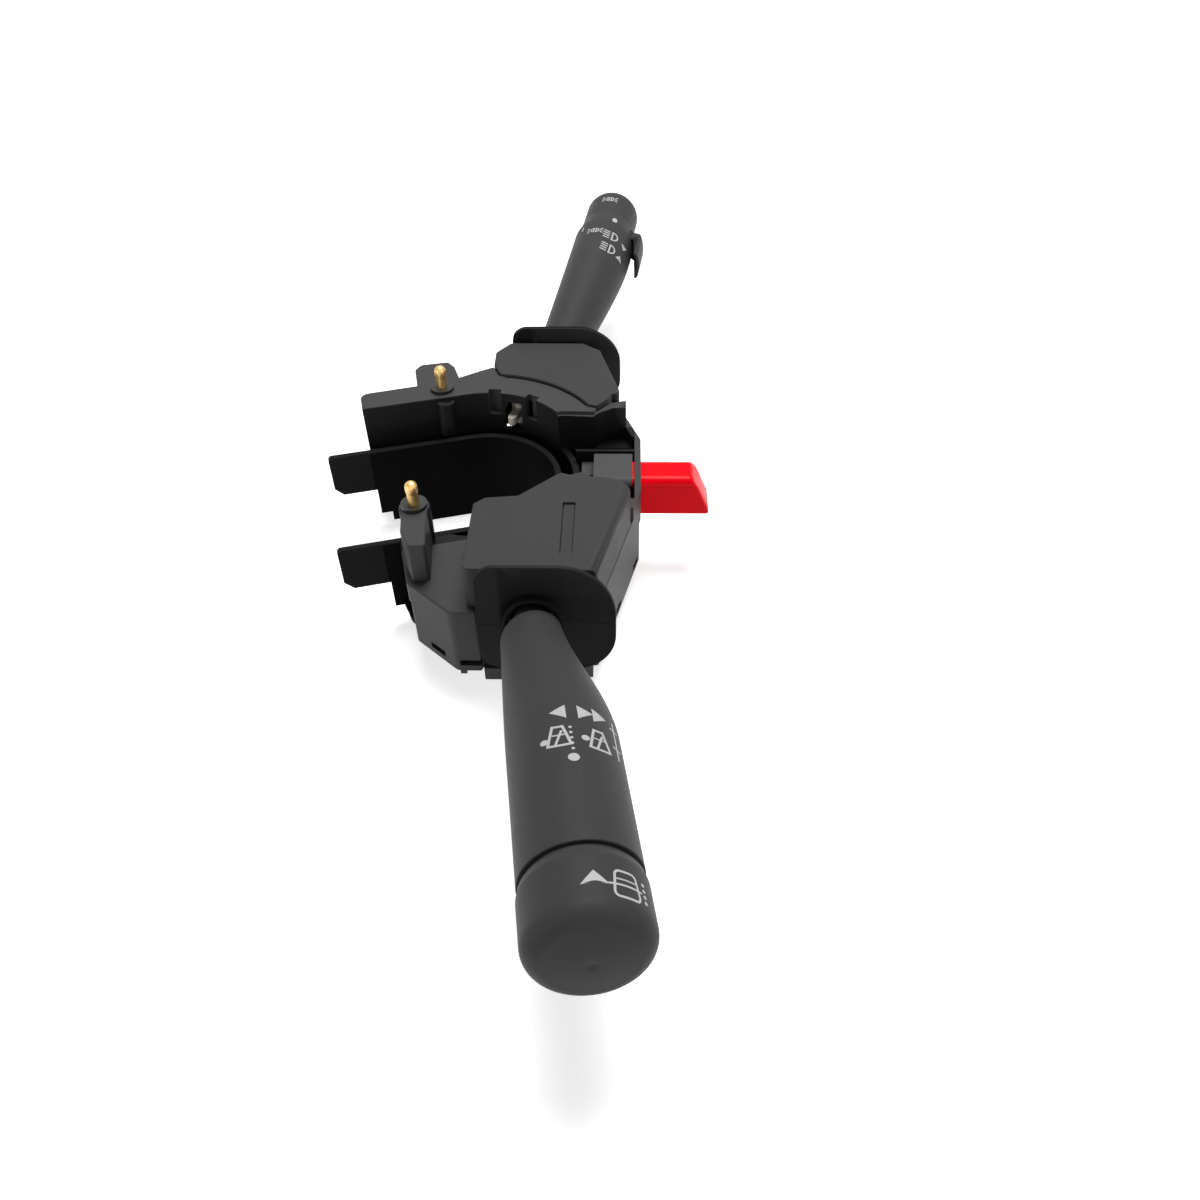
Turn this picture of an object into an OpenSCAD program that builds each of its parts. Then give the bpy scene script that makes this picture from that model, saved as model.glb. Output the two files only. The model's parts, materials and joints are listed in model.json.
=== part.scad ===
// Combination stalk switch for a steering column, in millimetres.
// The origin is on the column's axis, level with the underside. +Z points along the column to the driver.
// +X points to the wiper stalk, -X to the indicator stalk, and +Y to the hazard lever.

/* [Column saddle] */
// Radius of the seat on the steering column
column_r = 25; // [23:0.5:26]
// Wall of the saddle
saddle_wall = 2.3; // [1.8:0.1:2.8]
// Turn of the saddle's open side about the column
slot_turn = 15; // [12:1:17]
// Reach of the prongs from the column's axis
prong_reach = 52; // [48:1:56]
// Height of the prongs' lower edge
prong_low = 18; // [15:0.5:21]
// Corner cut at the ends of the prongs
prong_cut = 3; // [1:0.5:5]
// Reach of the saddle's full-height cheeks from the column's axis
cheek_reach = 37; // [33:1:40]
// Width of the saddle's base flange
saddle_flange_w = 12; // [10:0.5:13]
// Thickness of the saddle's base flange
saddle_flange_t = 2.2; // [1.6:0.1:3]
// Diameter of the fixing holes in the saddle's ears
ear_hole_d = 5.3; // [4:0.1:6]
// Radius of the saddle's ears
ear_r = 5.6; // [5:0.1:6.5]

/* [Housing heights] */
// Underside of the tray
tray_low = 8.5; // [7.5:0.5:9.5]
// Height of the seam between tray and upper housing
seam_z = 26.5; // [25:0.5:28]
// Height of the lower deck
deck_z = 34.5; // [33.5:0.5:35.5]
// Height of the raised deck and of the contact tower
raised_z = 49; // [48:0.5:50]
// Step from the raised deck up to the covers' top faces
cover_step = 1; // [0.5:0.1:1.6]
// Wall of the mouldings
wall = 2.2; // [1.6:0.1:2.6]
// Gap between mouldings that stand side by side
part_gap = 0.2; // [0.15:0.05:0.3]

/* [Housing outline] */
// Half of the housing's width, to its front faces
half_width = 67.5; // [66:0.5:68]
// Distance from the column's axis to the face with the hazard lever
hazard_face_y = 54.8; // [54:0.2:58]
// Radius of the arc wall round the column
arc_r = 31.5; // [30.5:0.5:32.5]
// Distance of the tray's left face from the column's axis
left_face = 31.8; // [30:0.2:33]
// Width of the raised strip beside the saddle
strip_w = 10; // [9:0.2:11]
// Reach of the raised strip from the column's axis
strip_reach = 37; // [35:0.5:39]
// Reach of the tab beyond the raised strip
tab_reach = 14; // [10:0.5:16]
// Inner radius of the indicator side's cover, about the column's axis
left_cover_r = 42.7; // [41.5:0.1:44]
// Distance of the covers' front faces from the column's axis
cover_front = 65; // [63.5:0.1:65.3]
// Height of the rim round the hazard switch
rim_z = 39.5; // [39:0.1:40.5]
// Rounding of the wiper cover's outer top edge
cover_round = 3; // [1:0.25:4]

/* [Shields] */
// Distance of the shields from the column's axis
shield_x = 72.1; // [72:0.1:74]
// Height of the stalks' necks at the shields
neck_z = 34; // [33:0.5:35]
// Offset of the stalks' necks from the column's axis
neck_y = 22.3; // [22:0.1:22.6]
// Width of a shield on the hazard side of the neck
shield_right = 24.8; // [23:0.1:26]
// Width of a shield on the other side of the neck
shield_left = 16.7; // [15:0.1:17]
// Height of a shield above the neck
shield_up = 20.6; // [18:0.2:22]
// Height of a shield below the neck
shield_down = 16.8; // [16:0.2:20]
// Depth of a shield's dish
dish_depth = 3; // [2:0.1:3.4]
// Thickness of a shield
shield_t = 1.4; // [1:0.1:1.6]
// Radius of a shield's collar, inside
collar_r = 8.4; // [8.2:0.05:9]
// Wall of a shield's collar
collar_wall = 0.9; // [0.8:0.1:1.2]

/* [Stalks] */
// Rise of the stalks towards the driver, in degrees
stalk_rise = 7.5; // [5:0.5:9]
// Sweep of the stalks towards the hazard side, in degrees
stalk_sweep = 8.5; // [7:0.1:9]
// Radius of the stalks' necks inside the collars
neck_r = 5.8; // [5:0.1:6]
// Distance from the shield to the lip where a stalk's skin starts
lip_x = 3.7; // [3:0.1:5]
// Radius of a stalk just after its lip
throat_r = 9.2; // [8.6:0.1:9.6]
// How much smaller the lip itself is
lip_round = 1; // [0.5:0.1:1.2]
// Distance from the shield at which the wiper stalk has its full width
flare_end = 55; // [45:1:60]
// Distance from the shield at which the wiper stalk has its full thickness
swell_end = 73; // [62:1:76]
// Radius of the wiper stalk's barrel
wiper_r = 14.8; // [14:0.1:15]
// Length of the wiper stalk up to the groove of its end cap
wiper_len = 97.5; // [94:0.5:99]
// Length of the round part of the wiper stalk's barrel
wiper_barrel = 17.5; // [15:0.5:20]
// Offset of the barrels from the necks
barrel_shift = 3.9; // [3:0.1:5]
// Offset of the stalks' throats from the necks, away from the hazard side
throat_shift = 0.9; // [0:0.1:1.2]
// Radius of the indicator stalk's barrel
indicator_r = 13.2; // [12.8:0.1:13.6]
// Length of the indicator stalk up to its light knob
indicator_len = 88; // [86:0.5:92]
// Length of the round part of the indicator stalk's barrel
indicator_barrel = 8; // [6:0.5:9]

/* [Buttons and knobs] */
// Radius of the end cap
cap_r = 15.1; // [14.9:0.1:15.5]
// Length of the end cap
cap_len = 19.6; // [18:0.1:21]
// Travel of the end cap
cap_travel = 1.2; // [0.8:0.1:2]
// Radius of the light knob beside the barrel
knob_base_r = 12.7; // [12.3:0.1:13]
// Radius of the light knob before its dome
knob_r = 11.7; // [11:0.1:12.2]
// Length of the light knob
knob_len = 31; // [29:0.1:33]
// Reach of the knob's thumb tab back along the barrel
tab_back = 14; // [10:0.5:16]
// Height of the thumb tab above the barrel
tab_rise = 4.8; // [3.5:0.1:6]
// Angle that the thumb tab covers round the barrel
tab_angle = 42; // [30:1:50]
// Width of the hazard lever
lever_w = 13; // [11:0.5:14]
// Height of the hazard lever
lever_h = 14.7; // [12:0.1:15]
// Height of the hazard lever's underside
lever_low = 23.6; // [22:0.1:24]
// Length of the lever's top edge beyond the housing
lever_top = 17.2; // [14:0.2:20]
// Length of the lever's bottom edge beyond the housing
lever_bottom = 23.8; // [20:0.2:26]
// Travel of the hazard lever
lever_travel = 4; // [2:0.5:5]

/* [Contact pins] */
// Distance of the contact pins from the column's axis, along X
pin_x = 34; // [33.5:0.1:34.5]
// Distance of the contact pins from the column's axis, along Y
pin_y = -17; // [-17.5:0.1:-16.5]
// Radius of a contact pin
pin_r = 1.8; // [1.6:0.05:1.9]
// Reach of the contact pins above the tower
pin_reach = 9.4; // [8:0.1:10]
// Travel of the contact pins
pin_travel = 3.5; // [2:0.1:4]
// Outer radius of the bushes round the contact pins
bush_r = 4.2; // [3.8:0.1:4.4]

/* [Mechanism] */
// Distance of the carriers' trunnions from the column's axis
trunnion_x = 44; // [43.6:0.1:45]
// Offset of the carriers' trunnions along Y
trunnion_y = 21; // [20.8:0.1:21.2]
// Radius of the trunnions
trunnion_r = 3.5; // [3:0.1:3.8]
// Distance of the stalks' hinge pins from the column's axis
hinge_x = 60; // [59.5:0.1:60.5]
// Radius of the hinge pins
hinge_r = 2; // [1.6:0.1:2.2]
// Radius of a carrier's hub
hub_r = 7; // [6.5:0.1:7.2]
// Radius of the detent plungers
plunger_r = 2; // [1.6:0.1:2.2]
// Travel of the detent plungers
plunger_travel = 1.2; // [0.8:0.1:1.5]
// Radius of the detent gates about the trunnions
gate_r = 9.8; // [9.6:0.1:10.2]
// Depth of the detent gates' notches
notch_depth = 0.8; // [0.5:0.1:1]
// Angle of the cancelling finger about the column's axis
cancel_angle = 164.5; // [163:0.5:166]
// Distance of the cancelling finger's pivot from the column's axis
cancel_pivot_r = 38.5; // [38:0.1:39]

/* [Connectors] */
// Length of a connector socket, along X
socket_l = 22.5; // [21:0.5:22.5]
// Width of a connector socket, along Y
socket_w = 12.6; // [11.6:0.2:12.6]
// Number of terminals in a connector socket
terminal_count = 6; // [4:1:6]

/* [Fits] */
// Radial clearance of running fits
running_fit = 0.05; // [0.03:0.01:0.08]
// Clearance between pieces that move past each other
move_gap = 0.4; // [0.3:0.05:0.5]

/* [Hidden] */
$fn = 64;
charcoal = "#3a3a3b";
cover_z = raised_z + cover_step;
floor_z = tray_low + wall;
saddle_out = column_r + saddle_wall;
near_edge = saddle_out + part_gap;
socket_z = 12.5;
socket_x = 50.6;
socket_y = 33.1;
board_t = 1.6;
swing = 8;
hinge_z = neck_z - (shield_x - hinge_x) * tan(stalk_rise);
arm_half = 6;
cheek_gap = 0.3;
cheek_t = 2.7;
hub_low = 16;
hub_high = 44;
boss_wall = 2.2;
trunnion_len = 3;
mech_top = raised_z - 2.6;
tray_set_in = 0.4;
lip_drop = 1.2;
blend_step = 0.1;

// Vectors and outlines.
function unit(v) = v / norm(v);
function polar(r, a) = [r * cos(a), r * sin(a)];

// A point given along and across the saddle's slot.
function slot_point(n, u) =
    [n * cos(slot_turn) - u * sin(slot_turn), n * sin(slot_turn) + u * cos(slot_turn)];

// The arc that rounds corner p between its neighbours a and b.
function corner(a, p, b, r, k) =
    let (u = unit(a - p), w = unit(b - p), half = acos(u * w) / 2, t = r / tan(half),
        c = p + unit(u + w) * (r / sin(half)), s = p + u * t - c, e = p + w * t - c,
        sweep = 180 - 2 * half)
    [for (i = [0:k]) c + (s * sin(sweep * (1 - i / k)) + e * sin(sweep * i / k)) / sin(sweep)];

// An outline from corners [x, y, radius].
function rounded(pts, k = 5) =
    [for (i = [0:len(pts) - 1])
        let (n = len(pts), a = pts[(i + n - 1) % n], p = pts[i], b = pts[(i + 1) % n])
        each p.z == 0 ? [[p.x, p.y]]
            : corner([a.x, a.y], [p.x, p.y], [b.x, b.y], p.z, k)];

// Points along an arc about the column's axis.
function arc_points(r, from, to, k = 12) = [for (i = [0:k]) polar(r, from + (to - from) * i / k)];

function with_r(p, r) = [p.x, p.y, r];

// Counterclockwise corners [x, y, radius] moved inwards by d.
function inset(pts, d) =
    [for (i = [0:len(pts) - 1])
        let (n = len(pts), a = pts[(i + n - 1) % n], p = pts[i], b = pts[(i + 1) % n],
            e1 = unit([p.x - a.x, p.y - a.y]), e2 = unit([b.x - p.x, b.y - p.y]),
            n1 = [-e1.y, e1.x], n2 = [-e2.y, e2.x])
        with_r([p.x, p.y] + (n1 + n2) * d / (1 + n1 * n2), p.z > d ? p.z - d : 0)];

function ease(t) = t <= 0 ? 0 : t >= 1 ? 1 : t * t * (3 - 2 * t);

module prism(pts, low, high) translate([0, 0, low]) linear_extrude(high - low) polygon(pts);
module block(low, high) translate(low) cube(high - low);
module post(x, y, r, low, high) translate([x, y, low]) cylinder(r = r, h = high - low);

// A bar along Y, from y = low to y = high.
module cross_bar(x, z, r, low, high)
    translate([x, high, z]) rotate([90, 0, 0]) cylinder(r = r, h = high - low);

module on_side(side) {
    if (side < 0) mirror([1, 0, 0]) children();
    else children();
}

// Closed skin through rings that all have the same number of points.
module skin(rings) {
    n = len(rings[0]);
    m = len(rings);
    polyhedron(
        points = [for (ring = rings) each ring],
        faces = concat(
            [[for (i = [0:n - 1]) i]],
            [for (j = [0:m - 2], i = [0:n - 1])
                let (a = j * n + i, b = j * n + (i + 1) % n)
                each [[a, a + n, b], [b, a + n, b + n]]],
            [[for (i = [n - 1:-1:0]) (m - 1) * n + i]]));
}

// Coil spring along Z from 0 to length.
module coil(r, wire_r, turns, length) {
    steps = 12;
    sides = 5;
    count = steps * turns;
    travel = length - 2 * wire_r;
    skin([for (i = [0:count])
        let (a = 360 * i / steps, z = wire_r + travel * i / count)
        [for (k = [0:sides - 1])
            let (b = -360 * k / sides, q = r + wire_r * cos(b))
            [q * cos(a), q * sin(a), z + wire_r * sin(b)]]]);
}

// Ends of the slanted face on the wiper side, towards the hazard lever.
side_low_y = hazard_face_y - 13.2;
side_high_x = 13;

// Corners of the two housings, counterclockwise from the tray's left face.
housing_corners = [
    with_r(slot_point(21, -left_face), 0),
    with_r(slot_point(47.5, -left_face), 3),
    [half_width, -3.5, 4],
    [half_width, 4.4, 0.6],
    [cover_front, 5.4, 0.6],
    [cover_front, side_low_y, 2],
    [side_high_x, hazard_face_y, 3],
    [-16, hazard_face_y, 2],
    [-30, 49.6, 2],
    [-61.5, 44, 3],
    [-cover_front, 40.4, 3],
    [-cover_front, 5.4, 0.6],
    [-half_width, 4.4, 0.6],
    [-half_width, -2, 4],
    [-57, -12, 3],
    with_r(slot_point(-arc_r - strip_w, -17), 0),
    with_r(slot_point(-arc_r - strip_w, -strip_reach), 3),
    with_r(slot_point(-21, -strip_reach), 0),
    [0, 0, 0]];

// Space kept open round the column and the saddle.
module column_space(more, low, high) {
    post(0, 0, arc_r + more, low, high);
    rotate([0, 0, slot_turn])
        block([blend_step - arc_r - more, -80, low], [near_edge + more, 0, high]);
}

// Space of one stalk's mechanism, drawn for the wiper side.
module mech_space(low, high)
    difference() {
        prism([[30, 4.2], [cover_front - wall, 4.2], [cover_front - wall, 38.4],
            [58, 40.6], [30, 46.5]], low, high);
        post(0, 0, arc_r + wall, low - 1, high + 1);
    }

// Opening in a front wall that a carrier passes through as it swings.
module carrier_mouth()
    block([cover_front - 6, trunnion_y - 12.4, neck_z - 12.6],
        [half_width + 2, trunnion_y + 16.2, neck_z + 12.2]);

// Frame at the neck, with X along the stalk.
module on_neck() translate([shield_x, neck_y, neck_z]) rotate([0, -stalk_rise, stalk_sweep]) children();

// Frame at the shield, which rises with the stalk but isn't swept with it.
module on_shield() translate([shield_x, neck_y, neck_z]) rotate([0, -stalk_rise, 0]) children();

// Cylinder along X.
module rod(r, low, high) translate([low, 0, 0]) rotate([0, 90, 0]) cylinder(r = r, h = high - low);

module tower_plan()
    polygon(rounded([[31, -21.6, 0], [46, -19.7, 0], [53.6, -16.4, 1], [53.2, -10.9, 1],
        [37, -12.6, 0], [31, -13.2, 0]]));

module contact_tower(low, high)
    difference() {
        union() {
            translate([0, 0, low]) linear_extrude(high - low) tower_plan();
            post(pin_x, pin_y, bush_r + 0.8, low, high);
        }
        rotate([0, 0, slot_turn]) block([0, -60, low - 1], [column_r + 0.1, 0, high + 1]);
    }

// Raised strip, its tab and the band that carries on round the arc wall.
module raised_deck(low, high) {
    out = -arc_r - strip_w;
    difference() {
        union() {
            prism(rounded([
                with_r(slot_point(-arc_r + 2, -strip_reach), 0),
                with_r(slot_point(-arc_r + 2, 4), 0),
                with_r(slot_point(out - 4.5, 6.8), 1),
                with_r(slot_point(out - 2.2, -0.6), 0),
                with_r(slot_point(out - tab_reach + 4, -1.2), 1.5),
                with_r(slot_point(out - tab_reach, -3), 1.5),
                with_r(slot_point(out - tab_reach - 0.6, -13.2), 2),
                with_r(slot_point(out - tab_reach + 2.4, -15.8), 2),
                with_r(slot_point(out - 0.4, -16.3), 0),
                with_r(slot_point(out, -strip_reach), 3)]), low, high);
            prism(concat([polar(arc_r - 2, 185)],
                [slot_point(out - 4.5, 6.8), [-49.4, 0.15], [-43, 2.9]],
                arc_points(left_cover_r - part_gap, 173.4, 122, 14),
                [[-21.4, 39], [-19.3, 38.4], [-19.6, 27.2], polar(arc_r - 3, 130)]), low, high);
            prism([[-27.9, 49.6], [-27.9, 48.6], [-26.6, 44.1], [-21.5, 39.7], [-22.3, 36.2],
                [-24, 30], polar(arc_r - 1, 126), [-18.6, 27.4], [-17.9, 38.2], [-20.3, 39.9], [-23.5, 45.1], [-23.5, 49.6]], low, high - lip_drop);
        }
        column_space(0, low - 1, high + 1);
    }
}

// Bore, chamber and seat of one contact pin.
module pin_cuts(x) {
    post(x, pin_y, bush_spigot_r + running_fit, raised_z - 1.8, raised_z + 1);
    post(x, pin_y, pin_r + 0.3, pin_seat_z, raised_z);
    post(x, pin_y, pin_flange_r + move_gap, pin_seat_z, pin_stop_z);
}
bush_spigot_r = 2.85;
pin_flange_r = 2.8;
pin_flange_t = 1.4;
pin_spring_turns = 6;
pin_spring_wire = 0.3;
pin_stop_z = raised_z - 3;
pin_spring_solid = 2 * pin_spring_wire * (pin_spring_turns + 1);
pin_seat_z = pin_stop_z - pin_flange_t - pin_travel - pin_spring_solid - 0.3;

module upper_housing() color(charcoal)
    difference() {
        union() {
            difference() {
                prism(rounded(housing_corners), seam_z, deck_z);
                difference() {
                    prism(rounded(inset(housing_corners, wall)), seam_z - 1, deck_z - wall);
                    column_space(wall, seam_z - 2, deck_z);
                }
            }
            contact_tower(seam_z, raised_z);
            raised_deck(seam_z, raised_z);
            hazard_rim();
        }
        column_space(0, seam_z - 1, deck_z + 1);
        mech_space(seam_z - 1, deck_z + 1);
        on_side(-1) mech_space(seam_z - 1, mech_top);
        on_side(-1) difference() {
            mech_space(seam_z, cover_z);
            post(0, 0, left_cover_r, seam_z, cover_z);
        }
        carrier_mouth();
        on_side(-1) carrier_mouth();
        pocket(seam_z - 1, raised_z + 1);
        lever_window();
        pin_cuts(pin_x);
        pin_cuts(-pin_x);
        finger_window();
        wall_notches();
    }

// Pocket between the raised deck and the wiper cover, where the hazard switch drops in.
module pocket(low, high)
    difference() {
        block([-17.8, 24, low], [17.5, hazard_face_y - wall, high]);
        post(0, 0, arc_r + wall, low - 1, high + 1);
        block([-10.9, 24, low - 1], [-9.5, hazard_face_y, rim_z - 0.5]);
    }

// Rim round the pocket on the hazard side, with the thin wall beside the hazard switch.
module hazard_rim() {
    difference() {
        prism(rounded(housing_corners), deck_z - 1, rim_z);
        prism(rounded(inset(housing_corners, wall)), deck_z - 2, rim_z + 1);
        block([-80, -60, deck_z - 2], [80, 46, rim_z + 1]);
        block([22.8, 40, deck_z - 2], [80, 60, rim_z + 1]);
        block([-80, 40, deck_z - 2], [-30.6, 60, rim_z + 1]);
    }
    block([-10.9, arc_r + 0.5, deck_z - 1], [-9.5, hazard_face_y - 1, rim_z - 0.5]);
}

// Window for the lever in the hazard face, across the seam.
module lever_window()
    block([-lever_w / 2 - move_gap, hazard_face_y - wall - 2, lever_low - move_gap],
        [lever_w / 2 + move_gap, hazard_face_y + 1, lever_low + lever_h + move_gap]);

// Window in the arc wall for the cancelling finger.
module finger_window()
    rotate([0, 0, cancel_angle]) block([arc_r - 2, -3.6, 33.2], [arc_r + wall + 1, 3.6, 45.4]);

// Open notches in the arc wall's top edge.
module wall_notches()
    for (a = [176.2, 150.6])
        rotate([0, 0, a]) block([arc_r - 2, -2.3, raised_z - 9], [arc_r + 2.4, 2.3, raised_z + 1]);

module lower_housing() color(charcoal)
    difference() {
        union() {
            difference() {
                prism(rounded(inset(housing_corners, tray_set_in)), tray_low, seam_z);
                difference() {
                    prism(rounded(inset(housing_corners, tray_set_in + wall)), floor_z, seam_z + 1);
                    column_space(wall, tray_low, seam_z + 2);
                }
            }
            for (side = [-1, 1])
                post(side * trunnion_x, trunnion_y, trunnion_r + boss_wall, tray_low + 1, hub_low - 0.3);
            tray_feet();
            for (p = saddle_screw_points())
                post(p.x, p.y, 3.6, tray_low + 1, 18);
        }
        column_space(0, tray_low - 1, seam_z + 1);
        for (side = [-1, 1]) {
            post(side * trunnion_x, trunnion_y, trunnion_r + running_fit,
                hub_low - trunnion_len - 0.3, hub_low);
            on_side(side) carrier_mouth();
            on_side(side) socket_hole();
        }
        lever_window();
        for (p = saddle_screw_points())
            post(p.x, p.y, 1.5, tray_low - 1, 16.5);
        snap_slots();
    }

// Feet under the tray's front edges.
module tray_feet() {
    for (side = [-1, 1])
        on_side(side) block([cover_front - 0.5, 5, tray_low - 4.1],
            [half_width - tray_set_in, 12, tray_low + 1]);
    block([half_width - 3, -2.6, tray_low - 1.4], [half_width - tray_set_in, -0.6, tray_low + 1]);
}

// Slots that take the upper housing's snap hooks.
module snap_slots() {
    for (side = [-1, 1])
        block([side * half_width - 4, -2.4, 10.8], [side * half_width + 4, 4.6, 13.2]);
    translate([61.5, -10.5, 12]) rotate([0, 0, 48]) cube([7, 8, 2.4], center = true);
    for (p = [[18, 53.4], [40, 47.5]])
        translate([p.x, p.y, 10.8]) rotate([0, 0, -14]) cube([6, 8, 2.6], center = true);
}

function saddle_screw_points() =
    [for (p = [[33.5, 8], [20, 27], [-14, 31.5], [-35, 1]]) 35.2 * unit(p)];

module column_saddle() color("#2b2b2c") {
    difference() {
        rotate([0, 0, slot_turn]) difference() {
            union() {
                post(0, 0, saddle_out, 0, deck_z);
                block([-saddle_out, -cheek_reach, 0], [saddle_out, 0, deck_z]);
                prongs();
                post(0, 0, saddle_out + saddle_flange_w, tray_low - saddle_flange_t, tray_low);
                for (s = [-1, 1]) ear(s);
            }
            post(0, 0, column_r, -1, deck_z + 1);
            block([-column_r, -80, -1], [column_r, 0, deck_z + 1]);
            block([-80, -80, -1], [80, -cheek_reach + 8, 3]);
            block([-80, -cheek_reach - 1, -1], [80, -cheek_reach + 4, 7]);
        }
        for (p = saddle_screw_points())
            post(p.x, p.y, 1.9, -1, tray_low + 1);
    }
}

module prongs()
    rotate([90, 0, 90]) translate([0, 0, -saddle_out]) linear_extrude(2 * saddle_out)
            polygon([[-cheek_reach + 2, prong_low], [-prong_reach + prong_cut, prong_low],
                [-prong_reach, prong_low + prong_cut], [-prong_reach, deck_z - 1],
                [-prong_reach + 1, deck_z], [-cheek_reach + 2, deck_z]]);

// Ear with a fixing hole beside the saddle, drawn in the slot's frame.
module ear(s)
    difference() {
        hull() {
            post(s * (saddle_out + 6.6), -27, ear_r, tray_low - saddle_flange_t, tray_low);
            block([s * saddle_out - 0.5, -34, tray_low - saddle_flange_t], [s * saddle_out + 0.5, -8, tray_low]);
        }
        post(s * (saddle_out + 6.6), -27, ear_hole_d / 2, 0, tray_low + 1);
    }

module saddle_screws() color("silver")
    for (p = saddle_screw_points()) {
        post(p.x, p.y, 3, tray_low - saddle_flange_t - 1.8, tray_low - saddle_flange_t);
        post(p.x, p.y, 1.45, tray_low - saddle_flange_t - 1, 16);
    }

// Outline of the wiper side's cover.
function wiper_cover_outline() = rounded([
    [33.9, 1.7, 0], [cover_front, 1.5, 2], [cover_front, side_low_y - 0.1, 1],
    [25.4, 51.5, 2.5], [22.3, 48.5, 0.6], [20.2, 45.3, 0.6], [19.6, 41.4, 0.6],
    [19.6, 38.8, 0.6], [17, 35.5, 0.6], [18.6, 31.6, 0.6], [17.5, 28.6, 0.6],
    [19.7, 26, 1], [27, 18.3, 1.5], [29.7, 15.6, 2], [30.8, 5.2, 1]]);

module wiper_switch_cover() color(charcoal) {
    low = deck_z + part_gap;
    difference() {
        prism(wiper_cover_outline(), low, cover_z);
        difference() {
            mech_space(low - 1, cover_z - wall);
            post(0, 0, arc_r + wall + 1, low - 2, cover_z);
        }
        carrier_mouth();
        block([33.3, 30, cover_z - 0.7], [57.6, 34, cover_z + 1]);
        side_rounding();
    }
    cover_boss();
}

// What the rounding takes off the cover's top edge along the slanted face.
module side_rounding()
    translate([cover_front, side_low_y, cover_z - cover_round])
        rotate([0, 0, atan2(hazard_face_y - side_low_y, side_high_x - cover_front)])
            translate([-6, cover_round, 0]) difference() {
                translate([0, -cover_round - 1, 0]) cube([70, cover_round + 1, cover_round + 1]);
                rotate([0, 90, 0]) cylinder(r = cover_round, h = 70);
            }

// Boss under a cover for the carrier's upper trunnion.
module cover_boss()
    difference() {
        post(trunnion_x, trunnion_y, trunnion_r + 1.5, hub_high + 0.3, cover_z - wall + 0.1);
        post(trunnion_x, trunnion_y, trunnion_r + running_fit, hub_high, hub_high + trunnion_len + 0.3);
    }

// Outline of the indicator side's cover.
function indicator_cover_outline() = concat(
    rounded([[-28.3, 48.1, 2], [-59.5, 39.6, 2], [-64.7, 33, 2], [-cover_front, 5.4, 2],
        [-58.1, 0.3, 2], [-49.4, 0.4, 0.5], [-43.1, 3.2, 0]]),
    arc_points(left_cover_r, 174, 122, 14),
    [[-21.9, 39.4], [-27, 43.9]]);

module indicator_switch_cover() color(charcoal) {
    difference() {
        prism(indicator_cover_outline(), deck_z + part_gap, cover_z);
        on_side(-1) mech_space(deck_z - 1, cover_z - wall);
        on_side(-1) carrier_mouth();
    }
    on_side(-1) cover_boss();
}

// Carriers, drawn for the wiper side.
module carrier() {
    cheek_in = arm_half + cheek_gap;
    difference() {
        union() {
            post(trunnion_x, trunnion_y, hub_r, hub_low, hub_high);
            post(trunnion_x, trunnion_y, trunnion_r, hub_low - trunnion_len, hub_high + trunnion_len);
            block([trunnion_x, trunnion_y - cheek_in - cheek_t, hinge_z - 8],
                [trunnion_x + 7.5, trunnion_y + cheek_in + cheek_t, hinge_z + 8]);
            for (s = [-1, 1])
                translate([0, trunnion_y + s * (cheek_in + cheek_t / 2), 0])
                    block([trunnion_x, -cheek_t / 2, hinge_z - 8], [66.2, cheek_t / 2, hinge_z + 8]);
            on_shield() rod(collar_r + 1.3, collar_back - 1.5, collar_back);
            translate([trunnion_x, trunnion_y, hinge_z])
                rod(plunger_r + 1.4, -hub_r - 1.6, 0);
        }
        on_shield() rod(collar_r, -7, -4);
        cross_bar(hinge_x, hinge_z, hinge_r + running_fit, 0, 40);
        translate([trunnion_x, trunnion_y, hinge_z])
            rod(plunger_r + running_fit, -hub_r - 3, -spring_seat);
    }
}

module wiper_carrier() color("#e9e4d6") carrier();
module indicator_carrier() color("#e9e4d6") on_side(-1) carrier();

module hinge_pin()
    cross_bar(hinge_x, hinge_z, hinge_r, trunnion_y - arm_half - cheek_gap - cheek_t,
        trunnion_y + arm_half + cheek_gap + cheek_t);
module wiper_hinge_pin() color("silver") hinge_pin();
module indicator_hinge_pin() color("silver") on_side(-1) hinge_pin();

// Sliding contact under the hub.
module slider() {
    block([trunnion_x - 3, trunnion_y, hub_low - 0.7], [trunnion_x + 3, trunnion_y + 15, hub_low]);
    for (x = [-2.4, 0, 2.4])
        post(trunnion_x + x, trunnion_y + 12.5, 0.8, socket_z + board_t + 0.4, hub_low - 0.6);
}
module slider_cut() difference() {
    slider();
    post(trunnion_x, trunnion_y, trunnion_r + boss_wall + 0.4, 0, hub_low + 1);
}
module wiper_slider() color("goldenrod") slider_cut();
module indicator_slider() color("goldenrod") on_side(-1) slider_cut();

plunger_tip = gate_r - move_gap;
detent_wire = 0.25;
detent_turns = 4;
spring_seat = 1;
plunger_back = spring_seat + plunger_travel + 2 * detent_wire * (detent_turns + 0.8);
module plunger()
    translate([trunnion_x, trunnion_y, hinge_z]) {
        rod(plunger_r, -plunger_tip + plunger_r, -plunger_back);
        translate([-plunger_tip + plunger_r, 0, 0]) sphere(r = plunger_r);
    }
module wiper_detent_plunger() color("silver") plunger();
module indicator_detent_plunger() color("silver") on_side(-1) plunger();

module plunger_spring()
    translate([trunnion_x - spring_seat, trunnion_y, hinge_z]) rotate([0, -90, 0])
        coil(plunger_r - 0.6, detent_wire, detent_turns, plunger_back - spring_seat);
module wiper_detent_spring() color("silver") plunger_spring();
module indicator_detent_spring() color("silver") on_side(-1) plunger_spring();

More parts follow.
